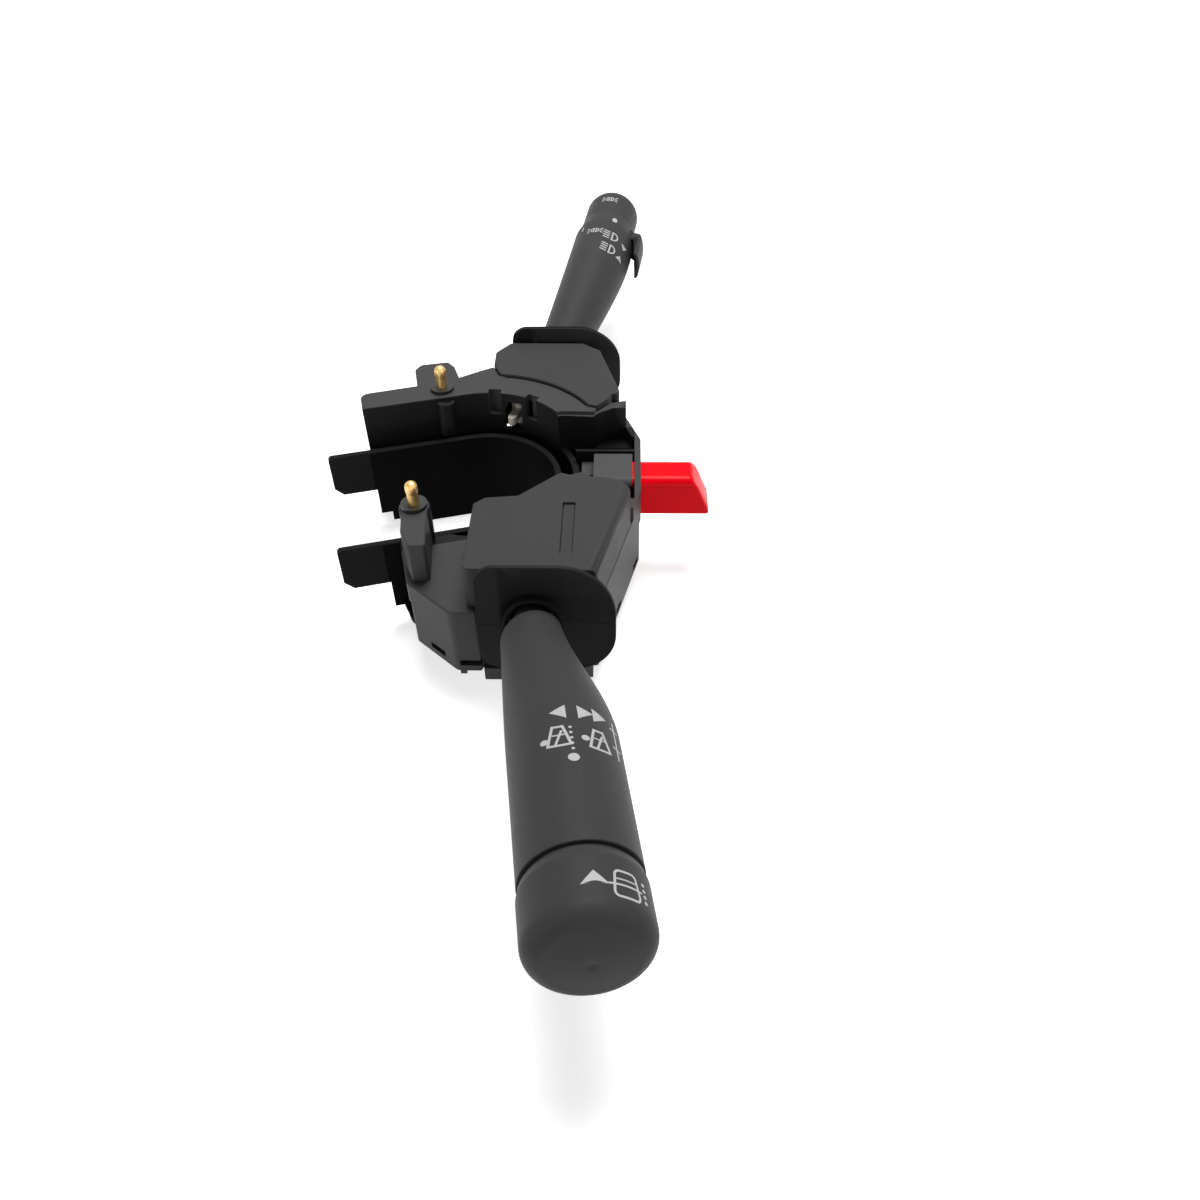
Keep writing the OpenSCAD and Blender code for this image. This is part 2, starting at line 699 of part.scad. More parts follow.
// Detent gate: an arc about the trunnion with a notch for each position of the stalk.
module gate()
    translate([trunnion_x, trunnion_y, floor_z]) difference() {
        cylinder(r = gate_r + 2.2, h = hinge_z + 5 - floor_z);
        translate([0, 0, -1]) cylinder(r = gate_r, h = 60);
        translate([-4.6, -30, -1]) cube([60, 60, 60]);
        for (s = [-1, 1])
            rotate([0, 0, 180 + s * 25]) translate([0, s > 0 ? 0 : -30, -1]) cube([30, 30, 60]);
        for (a = [-swing, 0, swing])
            rotate([0, 0, 180 + a]) translate([gate_r, 0, -1])
                cylinder(r = notch_depth, h = 60);
    }
module wiper_detent_gate() color("white") gate();
module indicator_detent_gate() color("white") on_side(-1) gate();

// Contact board on top of the connector socket.
module board()
    difference() {
        block([36, trunnion_y + 6.2, socket_z], [cover_front - wall - 0.8, 37.6, socket_z + board_t]);
        post(0, 0, arc_r + wall + 1, 0, 30);
    }
module wiper_contact_board() color("#7a5b2e") board();
module indicator_contact_board() color("#7a5b2e") on_side(-1) board();

terminal_pitch = (socket_l - 6) / (terminal_count - 1);
function terminal_x(i) = socket_x - (socket_l - 6) / 2 + i * terminal_pitch;
module terminals()
    for (i = [0:terminal_count - 1])
        block([terminal_x(i) - 0.4, socket_y - 1.4, 3], [terminal_x(i) + 0.4, socket_y + 1.4, socket_z]);
module wiper_terminals() color("#d8d8d0") terminals();
module indicator_terminals() color("#d8d8d0") on_side(-1) terminals();

// Connector socket under the tray, open downwards.
module socket() {
    l = socket_l / 2;
    w = socket_w / 2;
    difference() {
        union() {
            block([socket_x - l, socket_y - w, 0], [socket_x + l, socket_y + w, socket_z]);
            block([socket_x - l - 1.2, socket_y - w, floor_z],
                [cover_front - wall - 0.6, socket_y + w - 2, floor_z + 1]);
            block([socket_x - 3, socket_y - w - 1.4, 1], [socket_x + 3, socket_y - w + 1, 6]);
            block([socket_x + 6, socket_y, 5.8], [socket_x + l, socket_y + w + 1.7, tray_low - 0.2]);
        }
        block([socket_x - l + 1.4, socket_y - w + 1.4, -1], [socket_x + l - 1.4, socket_y + w - 1.4, socket_z - 1.6]);
        for (i = [0:terminal_count - 1])
            block([terminal_x(i) - 0.5, socket_y - 1.5, 0], [terminal_x(i) + 0.5, socket_y + 1.5, socket_z + 1]);
    }
}
module socket_hole()
    block([socket_x - socket_l / 2 - part_gap, socket_y - socket_w / 2 - part_gap, tray_low - 1],
        [socket_x + socket_l / 2 + part_gap, socket_y + socket_w / 2 + part_gap, floor_z + 1]);
module wiper_connector() color("#2b2b2c") socket();
module indicator_connector() color("#2b2b2c") on_side(-1) socket();

// Outline of a shield about the neck, counterclockwise as [y, z].
function shield_outline() = rounded([
    [shield_right, -shield_down, 13], [shield_right, shield_up, 17],
    [-shield_left, shield_up, 6], [-shield_left, -shield_down, 9]], 8);

// Plate and collar on one side of the parting line, for s = 1 above and -1 below.
module shield_half(s)
    on_shield() {
        intersection() {
            dish_ring();
            block([-20, -60, s > 0 ? split_gap / 2 : -60], [20, 60, s > 0 ? 60 : -split_gap / 2]);
        }
    }
split_gap = 0.1;
module dish_ring()
    difference() {
        union() {
            dish_plate();
            rod(collar_r + collar_wall, collar_back, 0.6);
        }
        rod(collar_r, -9, 3);
    }
collar_back = -4.6;

// Dished plate out to the shield's outline.
module dish_plate() {
    pts = shield_outline();
    steps = 4;
    inner = 4;
    function ring(q, back) =
        [for (p = pts) let (t = q / steps, c = inner * unit(p), s = c + (p - c) * t)
            [-dish_depth * (1 - t * t) - back, s.x, s.y]];
    skin(concat([for (q = [0:steps]) ring(q, shield_t)], [for (q = [steps:-1:0]) ring(q, 0)]));
}

module wiper_shield_upper() color("#262627") shield_half(1);
module wiper_shield_lower() color("#262627") shield_half(-1);
module indicator_shield_upper() color("#262627") on_side(-1) shield_half(1);
module indicator_shield_lower() color("#262627") on_side(-1) shield_half(-1);

// Arm of a stalk from its lip to a barrel of radius r that starts at x = barrel.
// It has its full width at x = wide and its full thickness at x = thick.
module flare(r, wide, thick, barrel) {
    n = 36;
    shares = [13, 18, 23, 28, 33, 38, 43, 48, 54, 60, 67, 73] / 80;
    xs = concat([lip_x, lip_x + 1.2, lip_x + 2.8, lip_x + lip_len], shares * barrel, [barrel - 1, barrel + 1]);
    skin([for (x = xs)
        let (lip = pow(max(0, 1 - (x - lip_x) / lip_len), 2), e = ease(x / wide),
            start_r = throat_r - lip_round * lip - (x > barrel ? flare_tuck : 0),
            a = start_r + (r - throat_r) * e,
            b = start_r + (r - throat_r) * ease(x / thick),
            y = barrel_shift * e - throat_shift * (1 - lip) * (1 - e))
        [for (i = [0:n - 1]) let (k = 360 * i / n) [x, y + a * cos(k), b * sin(k)]]]);
}

// Tongue between a carrier's cheeks, with its hinge barrel.
module tongue()
    difference() {
        union() {
            block([54.5, trunnion_y - arm_half, hinge_z - tongue_half],
                [hinge_x + 5.6, trunnion_y + arm_half, hinge_z + tongue_half]);
            cross_bar(hinge_x, hinge_z, 5.4, trunnion_y - arm_half, trunnion_y + arm_half);
            on_neck() rod(neck_r, -8.4, lip_x + 1);
        }
        cross_bar(hinge_x, hinge_z, hinge_r + running_fit, 0, 40);
    }
tongue_half = 4.6;
flare_tuck = 0.6;
lip_len = 5;

module on_barrel() on_neck() translate([0, barrel_shift, 0]) children();

module wiper_stalk() color("#434344")
    difference() {
        union() {
            tongue();
            on_neck() flare(wiper_r, flare_end, swell_end, wiper_len - wiper_barrel);
            on_barrel() {
                rod(wiper_r, wiper_len - wiper_barrel, wiper_len);
                rod(cap_nose_r, wiper_len - 1, wiper_len + cap_nose_len);
            }
        }
        on_barrel() rod(cap_stem_r + running_fit, cap_seat, wiper_len + cap_nose_len + 1);
    }
cap_nose_r = wiper_r - 1.2;
cap_nose_len = 4;
cap_stem_r = 5;
cap_stem_end = wiper_len - 8;
cap_spring_len = cap_travel + 7.8;
cap_seat = cap_stem_end - cap_spring_len;

module end_cap() color("#434344") on_barrel() rotate([0, 90, 0]) {
    start = wiper_len + cap_travel + move_gap;
    tip = start + cap_len;
    cavity = cap_nose_r + 0.5;
    inner_end = wiper_len + cap_nose_len + cap_travel + 0.5;
    dome = 9;
    rotate_extrude() difference() {
        union() {
            translate([0, start]) square([cap_r, tip - start - dome]);
            translate([0, tip - dome]) dome_profile(cap_r, dome, 5.2);
        }
        translate([-1, start - 1]) square([cavity + 1, inner_end - start + 1]);
        translate([0, tip + 0.4]) circle(r = 1.4);
    }
    translate([0, 0, cap_stem_end]) cylinder(r = cap_stem_r, h = inner_end - cap_stem_end + 1);
}

// Half profile of a domed end: a straight flank, a round shoulder and a shallow crown.
module dome_profile(r, h, shoulder) {
    intersection() {
        union() {
            square([r - shoulder, h]);
            square([r, h - shoulder]);
            translate([r - shoulder, h - shoulder]) circle(r = shoulder);
        }
        translate([0, h - 60]) circle(r = 60, $fn = 240);
        square([r, h]);
    }
}

module end_cap_spring() color("silver") on_barrel()
    translate([cap_seat, 0, 0]) rotate([0, 90, 0]) coil(3.6, 0.4, 5, cap_spring_len);

module indicator_stalk() color("#434344") on_side(-1)
    difference() {
        union() {
            tongue();
            on_neck() flare(indicator_r, indicator_flare, indicator_flare, indicator_flare - 1);
            on_barrel() rod(indicator_r, indicator_flare - 1, indicator_len);
        }
        on_barrel() rod(knob_stem_r + running_fit, indicator_len - 12, indicator_len + 1);
    }
indicator_flare = indicator_len - indicator_barrel + 1;
knob_stem_r = 4.5;

module light_knob() color("#434344") on_side(-1) on_barrel() {
    start = indicator_len + move_gap;
    shoulder = 8.5;
    dome = 12;
    dome_start = start + knob_len - dome;
    rotate([0, 90, 0]) {
        rotate_extrude() union() {
            polygon([[0, start], [knob_base_r, start], [knob_r, start + 9], [knob_r, dome_start],
                [0, dome_start]]);
            translate([0, dome_start]) dome_profile(knob_r, dome, shoulder);
        }
        translate([0, 0, indicator_len - 11.8]) cylinder(r = knob_stem_r, h = 14);
    }
    thumb_tab();
}

// Thumb tab: a shell that reaches back round the barrel and runs into the knob.
module thumb_tab() {
    inner = indicator_r + tab_rise - 1.7;
    outer = indicator_r + tab_rise;
    back = indicator_len - tab_back;
    rotate([0, 90, 0]) rotate([0, 0, 90 - tab_angle / 2]) rotate_extrude(angle = tab_angle)
        polygon([[knob_r - 2, indicator_len + move_gap], [inner, indicator_len + move_gap], [inner, back],
            [outer - 0.4, back], [outer, back + 0.6], [outer, indicator_len], [knob_r, indicator_len + 8],
            [knob_r - 2, indicator_len + 8]]);
}

// Hazard switch, which slides along Y.
hazard_top = lever_low + lever_h + 1.5;
hazard_in = 34.2;
hazard_out = hazard_face_y - wall - tray_set_in - 0.3;
hazard_half = lever_w / 2 + 2.5;
hazard_wall = 1.4;
lever_mid = lever_low + lever_h / 2;
lever_back = hazard_out - 5;
lever_stem_r = 4;
hazard_wire = 0.4;
hazard_turns = 4;
hazard_spring_len = lever_travel + 2 * hazard_wire * (hazard_turns + 1.2);
lever_stem_end = hazard_in + hazard_wall + hazard_spring_len;
module hazard_housing() color("#555556")
    difference() {
        union() {
            block([-hazard_half, 38.6, floor_z], [hazard_half, hazard_out, hazard_top - 3]);
            hull() for (x = [3 - hazard_half, hazard_half - 3])
                translate([x, 38.6, hazard_top - 3]) rotate([-90, 0, 0])
                    cylinder(r = 3, h = hazard_out - 38.6, $fn = 32);
            block([-hazard_half, hazard_in, floor_z], [hazard_half, 40, hazard_top - 5]);
        }
        block([-lever_w / 2 - move_gap, lever_back - lever_travel - move_gap, lever_low - move_gap],
            [lever_w / 2 + move_gap, hazard_out + 1, lever_low + lever_h + move_gap]);
        translate([0, hazard_in + hazard_wall, lever_mid]) rotate([-90, 0, 0])
            cylinder(r = lever_stem_r + running_fit, h = 12);
        block([hazard_wall - hazard_half, hazard_in + hazard_wall, floor_z - 1],
            [hazard_half - hazard_wall, hazard_out - hazard_wall, lever_low - 2.4]);
    }

module hazard_lever() color("#e0040f") {
    rotate([90, 0, 90]) translate([0, 0, -lever_w / 2]) linear_extrude(lever_w)
        polygon([[lever_back, lever_low], [hazard_face_y + lever_bottom, lever_low],
            [hazard_face_y + lever_top, lever_low + lever_h], [lever_back, lever_low + lever_h]]);
    translate([0, lever_stem_end, lever_mid]) rotate([-90, 0, 0])
        cylinder(r = lever_stem_r, h = lever_back - lever_stem_end + 1);
}

module hazard_spring() color("silver")
    translate([0, hazard_in + hazard_wall, lever_mid]) rotate([-90, 0, 0])
        coil(3, hazard_wire, hazard_turns, hazard_spring_len);

module hazard_contact() color("goldenrod")
    block([-3, hazard_in + 3, lever_low - 3.4], [3, hazard_in + 13, lever_low - 2.4]);

module contact_bushes() color("#1c1c1d")
    for (x = [-pin_x, pin_x])
        difference() {
            union() {
                post(x, pin_y, bush_r, raised_z, raised_z + 1.2);
                post(x, pin_y, bush_spigot_r, raised_z - 1.8, raised_z + 1);
            }
            post(x, pin_y, pin_r + running_fit, 0, raised_z + 2);
        }

module contact_pin(x) {
    head_r = pin_r + 0.25;
    head_z = raised_z + pin_reach - head_r;
    post(x, pin_y, pin_r, pin_stop_z - pin_flange_t, head_z);
    translate([x, pin_y, head_z]) sphere(r = head_r);
    post(x, pin_y, pin_flange_r, pin_stop_z - pin_flange_t, pin_stop_z - 0.1);
}
module wiper_contact_pin() color("#c9973f") contact_pin(pin_x);
module indicator_contact_pin() color("#c9973f") contact_pin(-pin_x);

module pin_spring(x)
    translate([x, pin_y, pin_seat_z])
        coil(2.3, pin_spring_wire, pin_spring_turns, pin_stop_z - pin_flange_t - pin_seat_z);
module wiper_pin_spring() color("silver") pin_spring(pin_x);
module indicator_pin_spring() color("silver") pin_spring(-pin_x);

// Self-cancelling finger, which swings about a vertical pin behind the arc wall.
cancel_pin_r = 1.5;
cancel_low = 37.5;
cancel_high = 40.5;
cancel_tip = cancel_pivot_r - arc_r + 1.4;
module at_cancel()
    translate(concat(polar(cancel_pivot_r, cancel_angle), 0)) rotate([0, 0, cancel_angle + 180]) children();
module cancel_finger() color("#1c1c1d") at_cancel()
    difference() {
        union() {
            post(0, 0, 3, cancel_low, cancel_high);
            block([1, -1.4, cancel_low], [cancel_tip, 1.4, cancel_high]);
            post(cancel_tip, 0, 1.4, cancel_low, cancel_high);
        }
        post(0, 0, cancel_pin_r + running_fit, 30, 50);
    }
module cancel_hub() color("#c8c5bb") at_cancel()
    for (z = [[cancel_low - 3.5, cancel_low], [cancel_high, cancel_high + 3.5]])
        difference() {
            post(0, 0, 2.7, z[0], z[1]);
            post(0, 0, cancel_pin_r + running_fit, 30, 50);
        }
module cancel_pin() color("silver") at_cancel() post(0, 0, cancel_pin_r, floor_z, mech_top);

upper_housing();
lower_housing();
column_saddle();
saddle_screws();
wiper_switch_cover();
indicator_switch_cover();
wiper_carrier();
wiper_shield_upper();
wiper_shield_lower();
wiper_hinge_pin();
wiper_slider();
wiper_detent_plunger();
wiper_detent_spring();
wiper_detent_gate();
wiper_contact_board();
wiper_terminals();
wiper_connector();
indicator_carrier();
indicator_shield_upper();
indicator_shield_lower();
indicator_hinge_pin();
indicator_slider();
indicator_detent_plunger();
indicator_detent_spring();
indicator_detent_gate();
indicator_contact_board();
indicator_terminals();
indicator_connector();
wiper_stalk();
end_cap();
end_cap_spring();
indicator_stalk();
light_knob();
hazard_housing();
hazard_lever();
hazard_spring();
hazard_contact();
contact_bushes();
wiper_contact_pin();
indicator_contact_pin();
wiper_pin_spring();
indicator_pin_spring();
cancel_finger();
cancel_hub();
cancel_pin();
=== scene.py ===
"""Looks of a combination stalk switch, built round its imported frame."""
import sys

import json
import logging
import math
from dataclasses import dataclass
from enum import Enum
from typing import Any, Callable, Iterable, Optional, Sequence

import bmesh
import bpy
from mathutils import Matrix, Vector

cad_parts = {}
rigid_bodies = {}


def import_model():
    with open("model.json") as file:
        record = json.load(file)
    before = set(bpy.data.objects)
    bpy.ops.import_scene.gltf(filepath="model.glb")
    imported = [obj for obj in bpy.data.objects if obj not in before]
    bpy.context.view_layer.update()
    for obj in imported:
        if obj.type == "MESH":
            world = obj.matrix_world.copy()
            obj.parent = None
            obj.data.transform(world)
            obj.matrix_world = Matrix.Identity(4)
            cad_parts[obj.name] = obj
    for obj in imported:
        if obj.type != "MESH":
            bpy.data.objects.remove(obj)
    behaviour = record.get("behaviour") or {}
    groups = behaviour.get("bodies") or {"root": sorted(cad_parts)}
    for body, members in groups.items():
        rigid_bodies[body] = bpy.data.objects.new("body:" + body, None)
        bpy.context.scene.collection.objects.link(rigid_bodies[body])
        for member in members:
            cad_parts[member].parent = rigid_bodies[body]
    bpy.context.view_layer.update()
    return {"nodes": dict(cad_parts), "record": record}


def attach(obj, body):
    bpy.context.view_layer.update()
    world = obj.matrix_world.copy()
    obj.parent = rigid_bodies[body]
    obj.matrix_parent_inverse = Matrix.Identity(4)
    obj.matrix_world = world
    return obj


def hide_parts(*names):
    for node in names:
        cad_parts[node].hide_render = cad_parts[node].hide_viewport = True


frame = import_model()

MM = 0.001
WELD = 0.000002  # Corners of a CAD mesh closer than this, in metres, are one.
FINE_WELD = 0.0000005  # The same for meshes made here.
FLAT = math.radians(0.4)  # Faces that differ by less are one.
SLOT_TURN = math.radians(15)  # Turn of the saddle's slot about the column.
SHARP = 40.0  # Edges stay sharp above this angle in degrees,
SHARP_MOULD = 30.0  # on the softened mouldings,
SHARP_STALK = 38.0  # on the stalks and what sits on them,
SHARP_THIN = 60.0  # and on coils and printed marks.
ROW = Matrix.Identity(4)
LOG = logging.getLogger("stalk_switch")
Rings = list[list[Vector]]
Shell = tuple[list[Vector], list[list[int]]]
Outline = list[tuple[float, float]]


# Shader and geometry graphs.


def feed(tree: bpy.types.NodeTree, socket: bpy.types.NodeSocket, value: Any) -> None:
    """Links or sets an input.

    Args:
        tree: The socket's tree.
        socket: The input to feed.
        value: A Value or an output to link, or else what to set.
    """
    source = value.socket if isinstance(value, Value) else value
    if isinstance(source, bpy.types.NodeSocket):
        tree.links.new(source, socket)
    else:
        socket.default_value = source


def add_node(tree: bpy.types.NodeTree, kind: str, settings: dict[str, Any], inputs: dict[Any, Any]) -> bpy.types.Node:
    """Adds any node.

    Args:
        tree: Where it goes.
        kind: The node's type.
        settings: Attributes, set first.
        inputs: What feeds its inputs, by socket name or index.

    Returns:
        The node.
    """
    node = tree.nodes.new(kind)
    for key, setting in settings.items():
        setattr(node, key, setting)
    for key, value in inputs.items():
        feed(tree, node.inputs[key], value)
    return node


class Value:
    """A number socket of a shader tree, with arithmetic."""

    def __init__(self, shader: "Shader", socket: bpy.types.NodeSocket) -> None:
        """Keeps the tree and the socket."""
        self.shader = shader
        self.socket = socket

    def _math(self, operation: str, a: Any, b: Any) -> "Value":
        """Result of a Math node on two values or numbers."""
        return self.shader.add("ShaderNodeMath", {"operation": operation}, {0: a, 1: b})

    def __add__(self, other: Any) -> "Value":
        """Sum."""
        return self._math("ADD", self, other)

    def __radd__(self, other: Any) -> "Value":
        """Reflected sum."""
        return self._math("ADD", other, self)

    def __sub__(self, other: Any) -> "Value":
        """Difference."""
        return self._math("SUBTRACT", self, other)

    def __rsub__(self, other: Any) -> "Value":
        """Reflected difference."""
        return self._math("SUBTRACT", other, self)

    def __mul__(self, other: Any) -> "Value":
        """Product."""
        return self._math("MULTIPLY", self, other)

    def __rmul__(self, other: Any) -> "Value":
        """Reflected product."""
        return self._math("MULTIPLY", other, self)

    def over(self, edge: float) -> "Value":
        """Mask that is 1 where the value is more than edge."""
        return self._math("GREATER_THAN", self, edge)

    def under(self, edge: float) -> "Value":
        """Mask that is 1 where the value is less than edge."""
        return (edge - self).over(0.0)


class Shader:
    """A material and its node tree."""

    def __init__(self, name: str) -> None:
        """Makes the material with a Principled shader.

        Args:
            name: The material's name.
        """
        self.material = bpy.data.materials.new(name)
        self.material.use_nodes = True
        self.tree = self.material.node_tree
        self.tree.nodes.clear()
        self.surface = self.tree.nodes.new("ShaderNodeBsdfPrincipled")
        self.output = add_node(self.tree, "ShaderNodeOutputMaterial", {}, {"Surface": self.surface.outputs[0]})
        self.place = self.add("ShaderNodeTexCoord", {}, {}, "Object")

    def add(self, kind: str, settings: dict[str, Any], inputs: dict[Any, Any], output: Any = 0) -> Value:
        """Adds any node and gives one of its outputs, named or counted."""
        return Value(self, add_node(self.tree, kind, settings, inputs).outputs[output])

    def noise(self, scale: float, detail: float = 2.0, rough: float = 0.5) -> Value:
        """Noise from 0 to 1 on Object coordinates, with scale in cells to the metre."""
        inputs = {"Vector": self.place, "Scale": scale, "Detail": detail, "Roughness": rough}
        return self.add("ShaderNodeTexNoise", {}, inputs, "Fac")

    def clamp(self, value: Value) -> Value:
        """A value kept from 0 to 1."""
        return self.add("ShaderNodeClamp", {}, {"Value": value})

    def mix(self, mask: Any, low: Any, high: Any) -> Value:
        """Blend of two colours, low where the mask is 0. Each is a Value or three numbers."""
        ends = [c if isinstance(c, Value) else (*c, 1.0) for c in (low, high)]
        return self.add("ShaderNodeMix", {"data_type": "RGBA"}, {0: mask, 6: ends[0], 7: ends[1]}, 2)

    def bump(self, height: Value, distance: float, strength: float = 1.0) -> Value:
        """Normal of a height from 0 to 1 that is worth distance metres."""
        return self.add("ShaderNodeBump", {}, {"Height": height, "Distance": distance, "Strength": strength})

    def finish(self, **inputs: Any) -> bpy.types.Material:
        """Feeds the Principled shader.

        Args:
            inputs: Values by socket name, with _ for a blank.

        Returns:
            The material.
        """
        for key, value in inputs.items():
            feed(self.tree, self.surface.inputs[key.replace("_", " ")], value)
        return self.material


def slot_axes(shader: Shader) -> tuple[Value, Value, Value, Value, Value]:
    """Place as x, y, z, then across and along the column's slot.

    Args:
        shader: The shader.

    Returns:
        The five coordinates, in metres.
    """
    x, y, z = (shader.add("ShaderNodeSeparateXYZ", {}, {0: shader.place}, axis) for axis in "XYZ")
    c, s = math.cos(SLOT_TURN), math.sin(SLOT_TURN)
    return x, y, z, x * c + y * s, y * c - x * s


# Finishes. Scales of noise are cells to the metre.

CLOUD_SCALE = 38.0
CLOUD_TONES = (0.84, 1.16)  # Shares of the colour between which it drifts.
CLOUD_ROUGH = 0.1
RUB_SCALE = 310.0
RUB_TONE = 1.3
RUB_ROUGH = 0.16
SPECK_SCALE = 190.0
SPECK_SIZE = 0.045
SPECK_EDGE = 40.0
DUSTY_SCALE = 60.0
DUSTY_LEVEL = 0.6  # Specks lie only where the dusty noise is above this.
DUST = (0.32, 0.31, 0.30)
GRAIN_SHARE = 0.8  # The rest of the relief is rubbing.
WALL_ROUGH = 0.1


@dataclass(frozen=True)
class Surface:
    """What every finish has."""

    name: str
    colour: tuple[float, float, float]
    roughness: float = 0.5

    @property
    def slot(self) -> str:
        """The material slot's name."""
        return self.name

    def tint(self, share: float) -> tuple[float, float, float]:
        """The colour made lighter or darker by a share of itself."""
        return tuple(c * share for c in self.colour)

    def mottled(self, shader: Shader, mask: Value, low: float, high: float) -> Value:
        """The colour between two shares of itself."""
        return shader.mix(mask, self.tint(low), self.tint(high))


@dataclass(frozen=True)
class Moulded(Surface):
    """Fine-grained moulded plastic."""

    grain: float = 3200.0
    depth: float = 0.00003
    dust: float = 0.25
    specular: float = 0.4
    # Share of its colour that the painted shade zone keeps.
    painted_shade_share: float = 0.12

    def painted_shade_zone(self, shader: Shader) -> Optional[Value]:
        """Mask of the faces that get painted shade: their colour is darkened and their roughness raised. None if there
        are none.
        """
        return None

    def material(self) -> bpy.types.Material:
        """Builds the material.

        Returns:
            Plastic with spark grain, cloudy tone, flow marks, a few dust specks and, on any zone, painted shade.
        """
        shader = Shader(self.name)
        cloud = shader.noise(CLOUD_SCALE, 4.0, 0.6)
        grain = shader.noise(self.grain, 3.0, 0.6)
        rub = shader.noise(RUB_SCALE, 5.0, 0.65)
        tone = self.mottled(shader, cloud, *CLOUD_TONES)
        tone = shader.mix((rub - 0.5) * 0.5 + 0.25, tone, self.tint(RUB_TONE))
        cells = {"Vector": shader.place, "Scale": SPECK_SCALE, "Randomness": 1.0}
        specks = shader.add("ShaderNodeTexVoronoi", {"feature": "F1"}, cells, "Distance")
        speck = shader.clamp((SPECK_SIZE - specks) * SPECK_EDGE * shader.noise(DUSTY_SCALE).over(DUSTY_LEVEL))
        tone = shader.mix(speck * self.dust, tone, DUST)
        rough = (rub - 0.5) * RUB_ROUGH + (cloud - 0.5) * CLOUD_ROUGH + self.roughness
        # Painted shade: in the zone the colour drops to a small share of itself and the roughness rises a little.
        shade_mask = self.painted_shade_zone(shader)
        if shade_mask is not None:
            tone = shader.mix(shade_mask, tone, self.tint(self.painted_shade_share))
            rough = rough + shade_mask * WALL_ROUGH
        normal = shader.bump(grain * GRAIN_SHARE + rub * (1 - GRAIN_SHARE), self.depth)
        return shader.finish(
            Base_Color=tone, Roughness=rough, Normal=normal, Specular_IOR_Level=self.specular, IOR=1.49
        )


@dataclass(frozen=True)
class HousingPlastic(Moulded):
    """Grained moulding with painted shade, a dark and slightly rougher tone, on the walls round the column, the strip's
    inner wall and the hazard pocket.
    """

    wall_r: float = 0.0316
    pocket_x: tuple[float, float] = (-0.0236, 0.0179)
    pocket_y: tuple[float, float] = (0.024, 0.0527)
    pocket_z: float = 0.0478
    top_z: float = 0.0488

    def painted_shade_zone(self, shader: Shader) -> Optional[Value]:
        """Mask of the painted shade on the column's arc wall, the strip's inner wall and the hazard pocket.

        Args:
            shader: The shader.

        Returns:
            The mask.
        """
        x, y, z, across, along = slot_axes(shader)
        arc_wall = 1 - (x * x + y * y).over(self.wall_r**2)
        strip = along.under(0.0) * across.over(-self.wall_r) * across.under(self.wall_r)
        pocket = x.under(self.pocket_x[1]) * x.over(self.pocket_x[0])
        pocket = pocket * y.over(self.pocket_y[0]) * y.under(self.pocket_y[1]) * z.under(self.pocket_z)
        return (arc_wall + strip + pocket).over(0.5) * z.under(self.top_z)


@dataclass(frozen=True)
class SaddlePlastic(Moulded):
    """Black bracket whose rim and prongs keep the plain, lightly rubbed tone, with painted shade on the bore's wall and
    floor.
    """

    prong_start: float = -0.0375
    rim_z: float = 0.0341

    def painted_shade_zone(self, shader: Shader) -> Optional[Value]:
        """Mask of the painted shade on the bore's wall and floor, below the rim and behind the prongs."""
        _, _, z, _, along = slot_axes(shader)
        return along.over(self.prong_start) * z.under(self.rim_z)


@dataclass(frozen=True)
class Metal(Surface):
    """Turned, drawn or plated metal."""

    lines: float = 2600.0
    depth: float = 0.00001
    waver: float = 1.2
    tarnish_scale: float = 900.0
    tones: tuple[float, float] = (0.8, 1.12)

    def material(self) -> bpy.types.Material:
        """Builds the material.

        Returns:
            Metal with fine tool lines across Z and faint tarnish.
        """
        shader = Shader(self.name)
        inputs = {"Vector": shader.place, "Scale": self.lines, "Distortion": self.waver, "Detail": 2.0}
        lines = shader.add("ShaderNodeTexWave", {"bands_direction": "Z"}, inputs, "Fac")
        tarnish = shader.noise(self.tarnish_scale, 4.0, 0.6)
        tone = self.mottled(shader, tarnish, *self.tones)
        rough = (tarnish - 0.5) * 0.2 + lines * 0.05 + self.roughness
        return shader.finish(Base_Color=tone, Metallic=1.0, Roughness=rough, Normal=shader.bump(lines, self.depth))


@dataclass(frozen=True)
class GlossRed(Surface):
    """Glossy translucent red moulding."""

    cloud_scale: float = 90.0
    scuff_scale: float = 700.0
    tones: tuple[float, float] = (0.85, 1.1)
    specular: float = 0.07
    coat: float = 0.012
    coat_roughness: float = 0.12

    def material(self) -> bpy.types.Material:
        """Builds the material.

        Returns:
            Red plastic with faint flow marks and light handling scuffs.
        """
        shader = Shader(self.name)
        cloud = shader.noise(self.cloud_scale, 3.0, 0.5)
        scuff = shader.noise(self.scuff_scale, 5.0, 0.7)
        return shader.finish(
            Base_Color=self.mottled(shader, cloud, *self.tones),
            Roughness=(scuff - 0.5) * 0.2 + self.roughness,
            Normal=shader.bump(cloud, 0.00002, 0.4),
            Specular_IOR_Level=self.specular,
            Coat_Weight=self.coat,
            Coat_Roughness=self.coat_roughness,
        )


@dataclass(frozen=True)
class Printed(Surface):
    """Printed marks on the stalks."""

    wear_scale: float = 1500.0
    tones: tuple[float, float] = (0.78, 1.12)

    @property
    def slot(self) -> str:
        """The slot of the stalks, which carry the marks."""
        return "stalk_plastic"

    def material(self) -> bpy.types.Material:
        """Builds the material.

        Returns:
            Pale ink, a little thinner in places.
        """
        shader = Shader(self.name)
        ink = shader.noise(self.wear_scale, 4.0, 0.7)
        tone = self.mottled(shader, ink, *self.tones)
        return shader.finish(Base_Color=tone, Roughness=(ink - 0.5) * 0.2 + self.roughness)


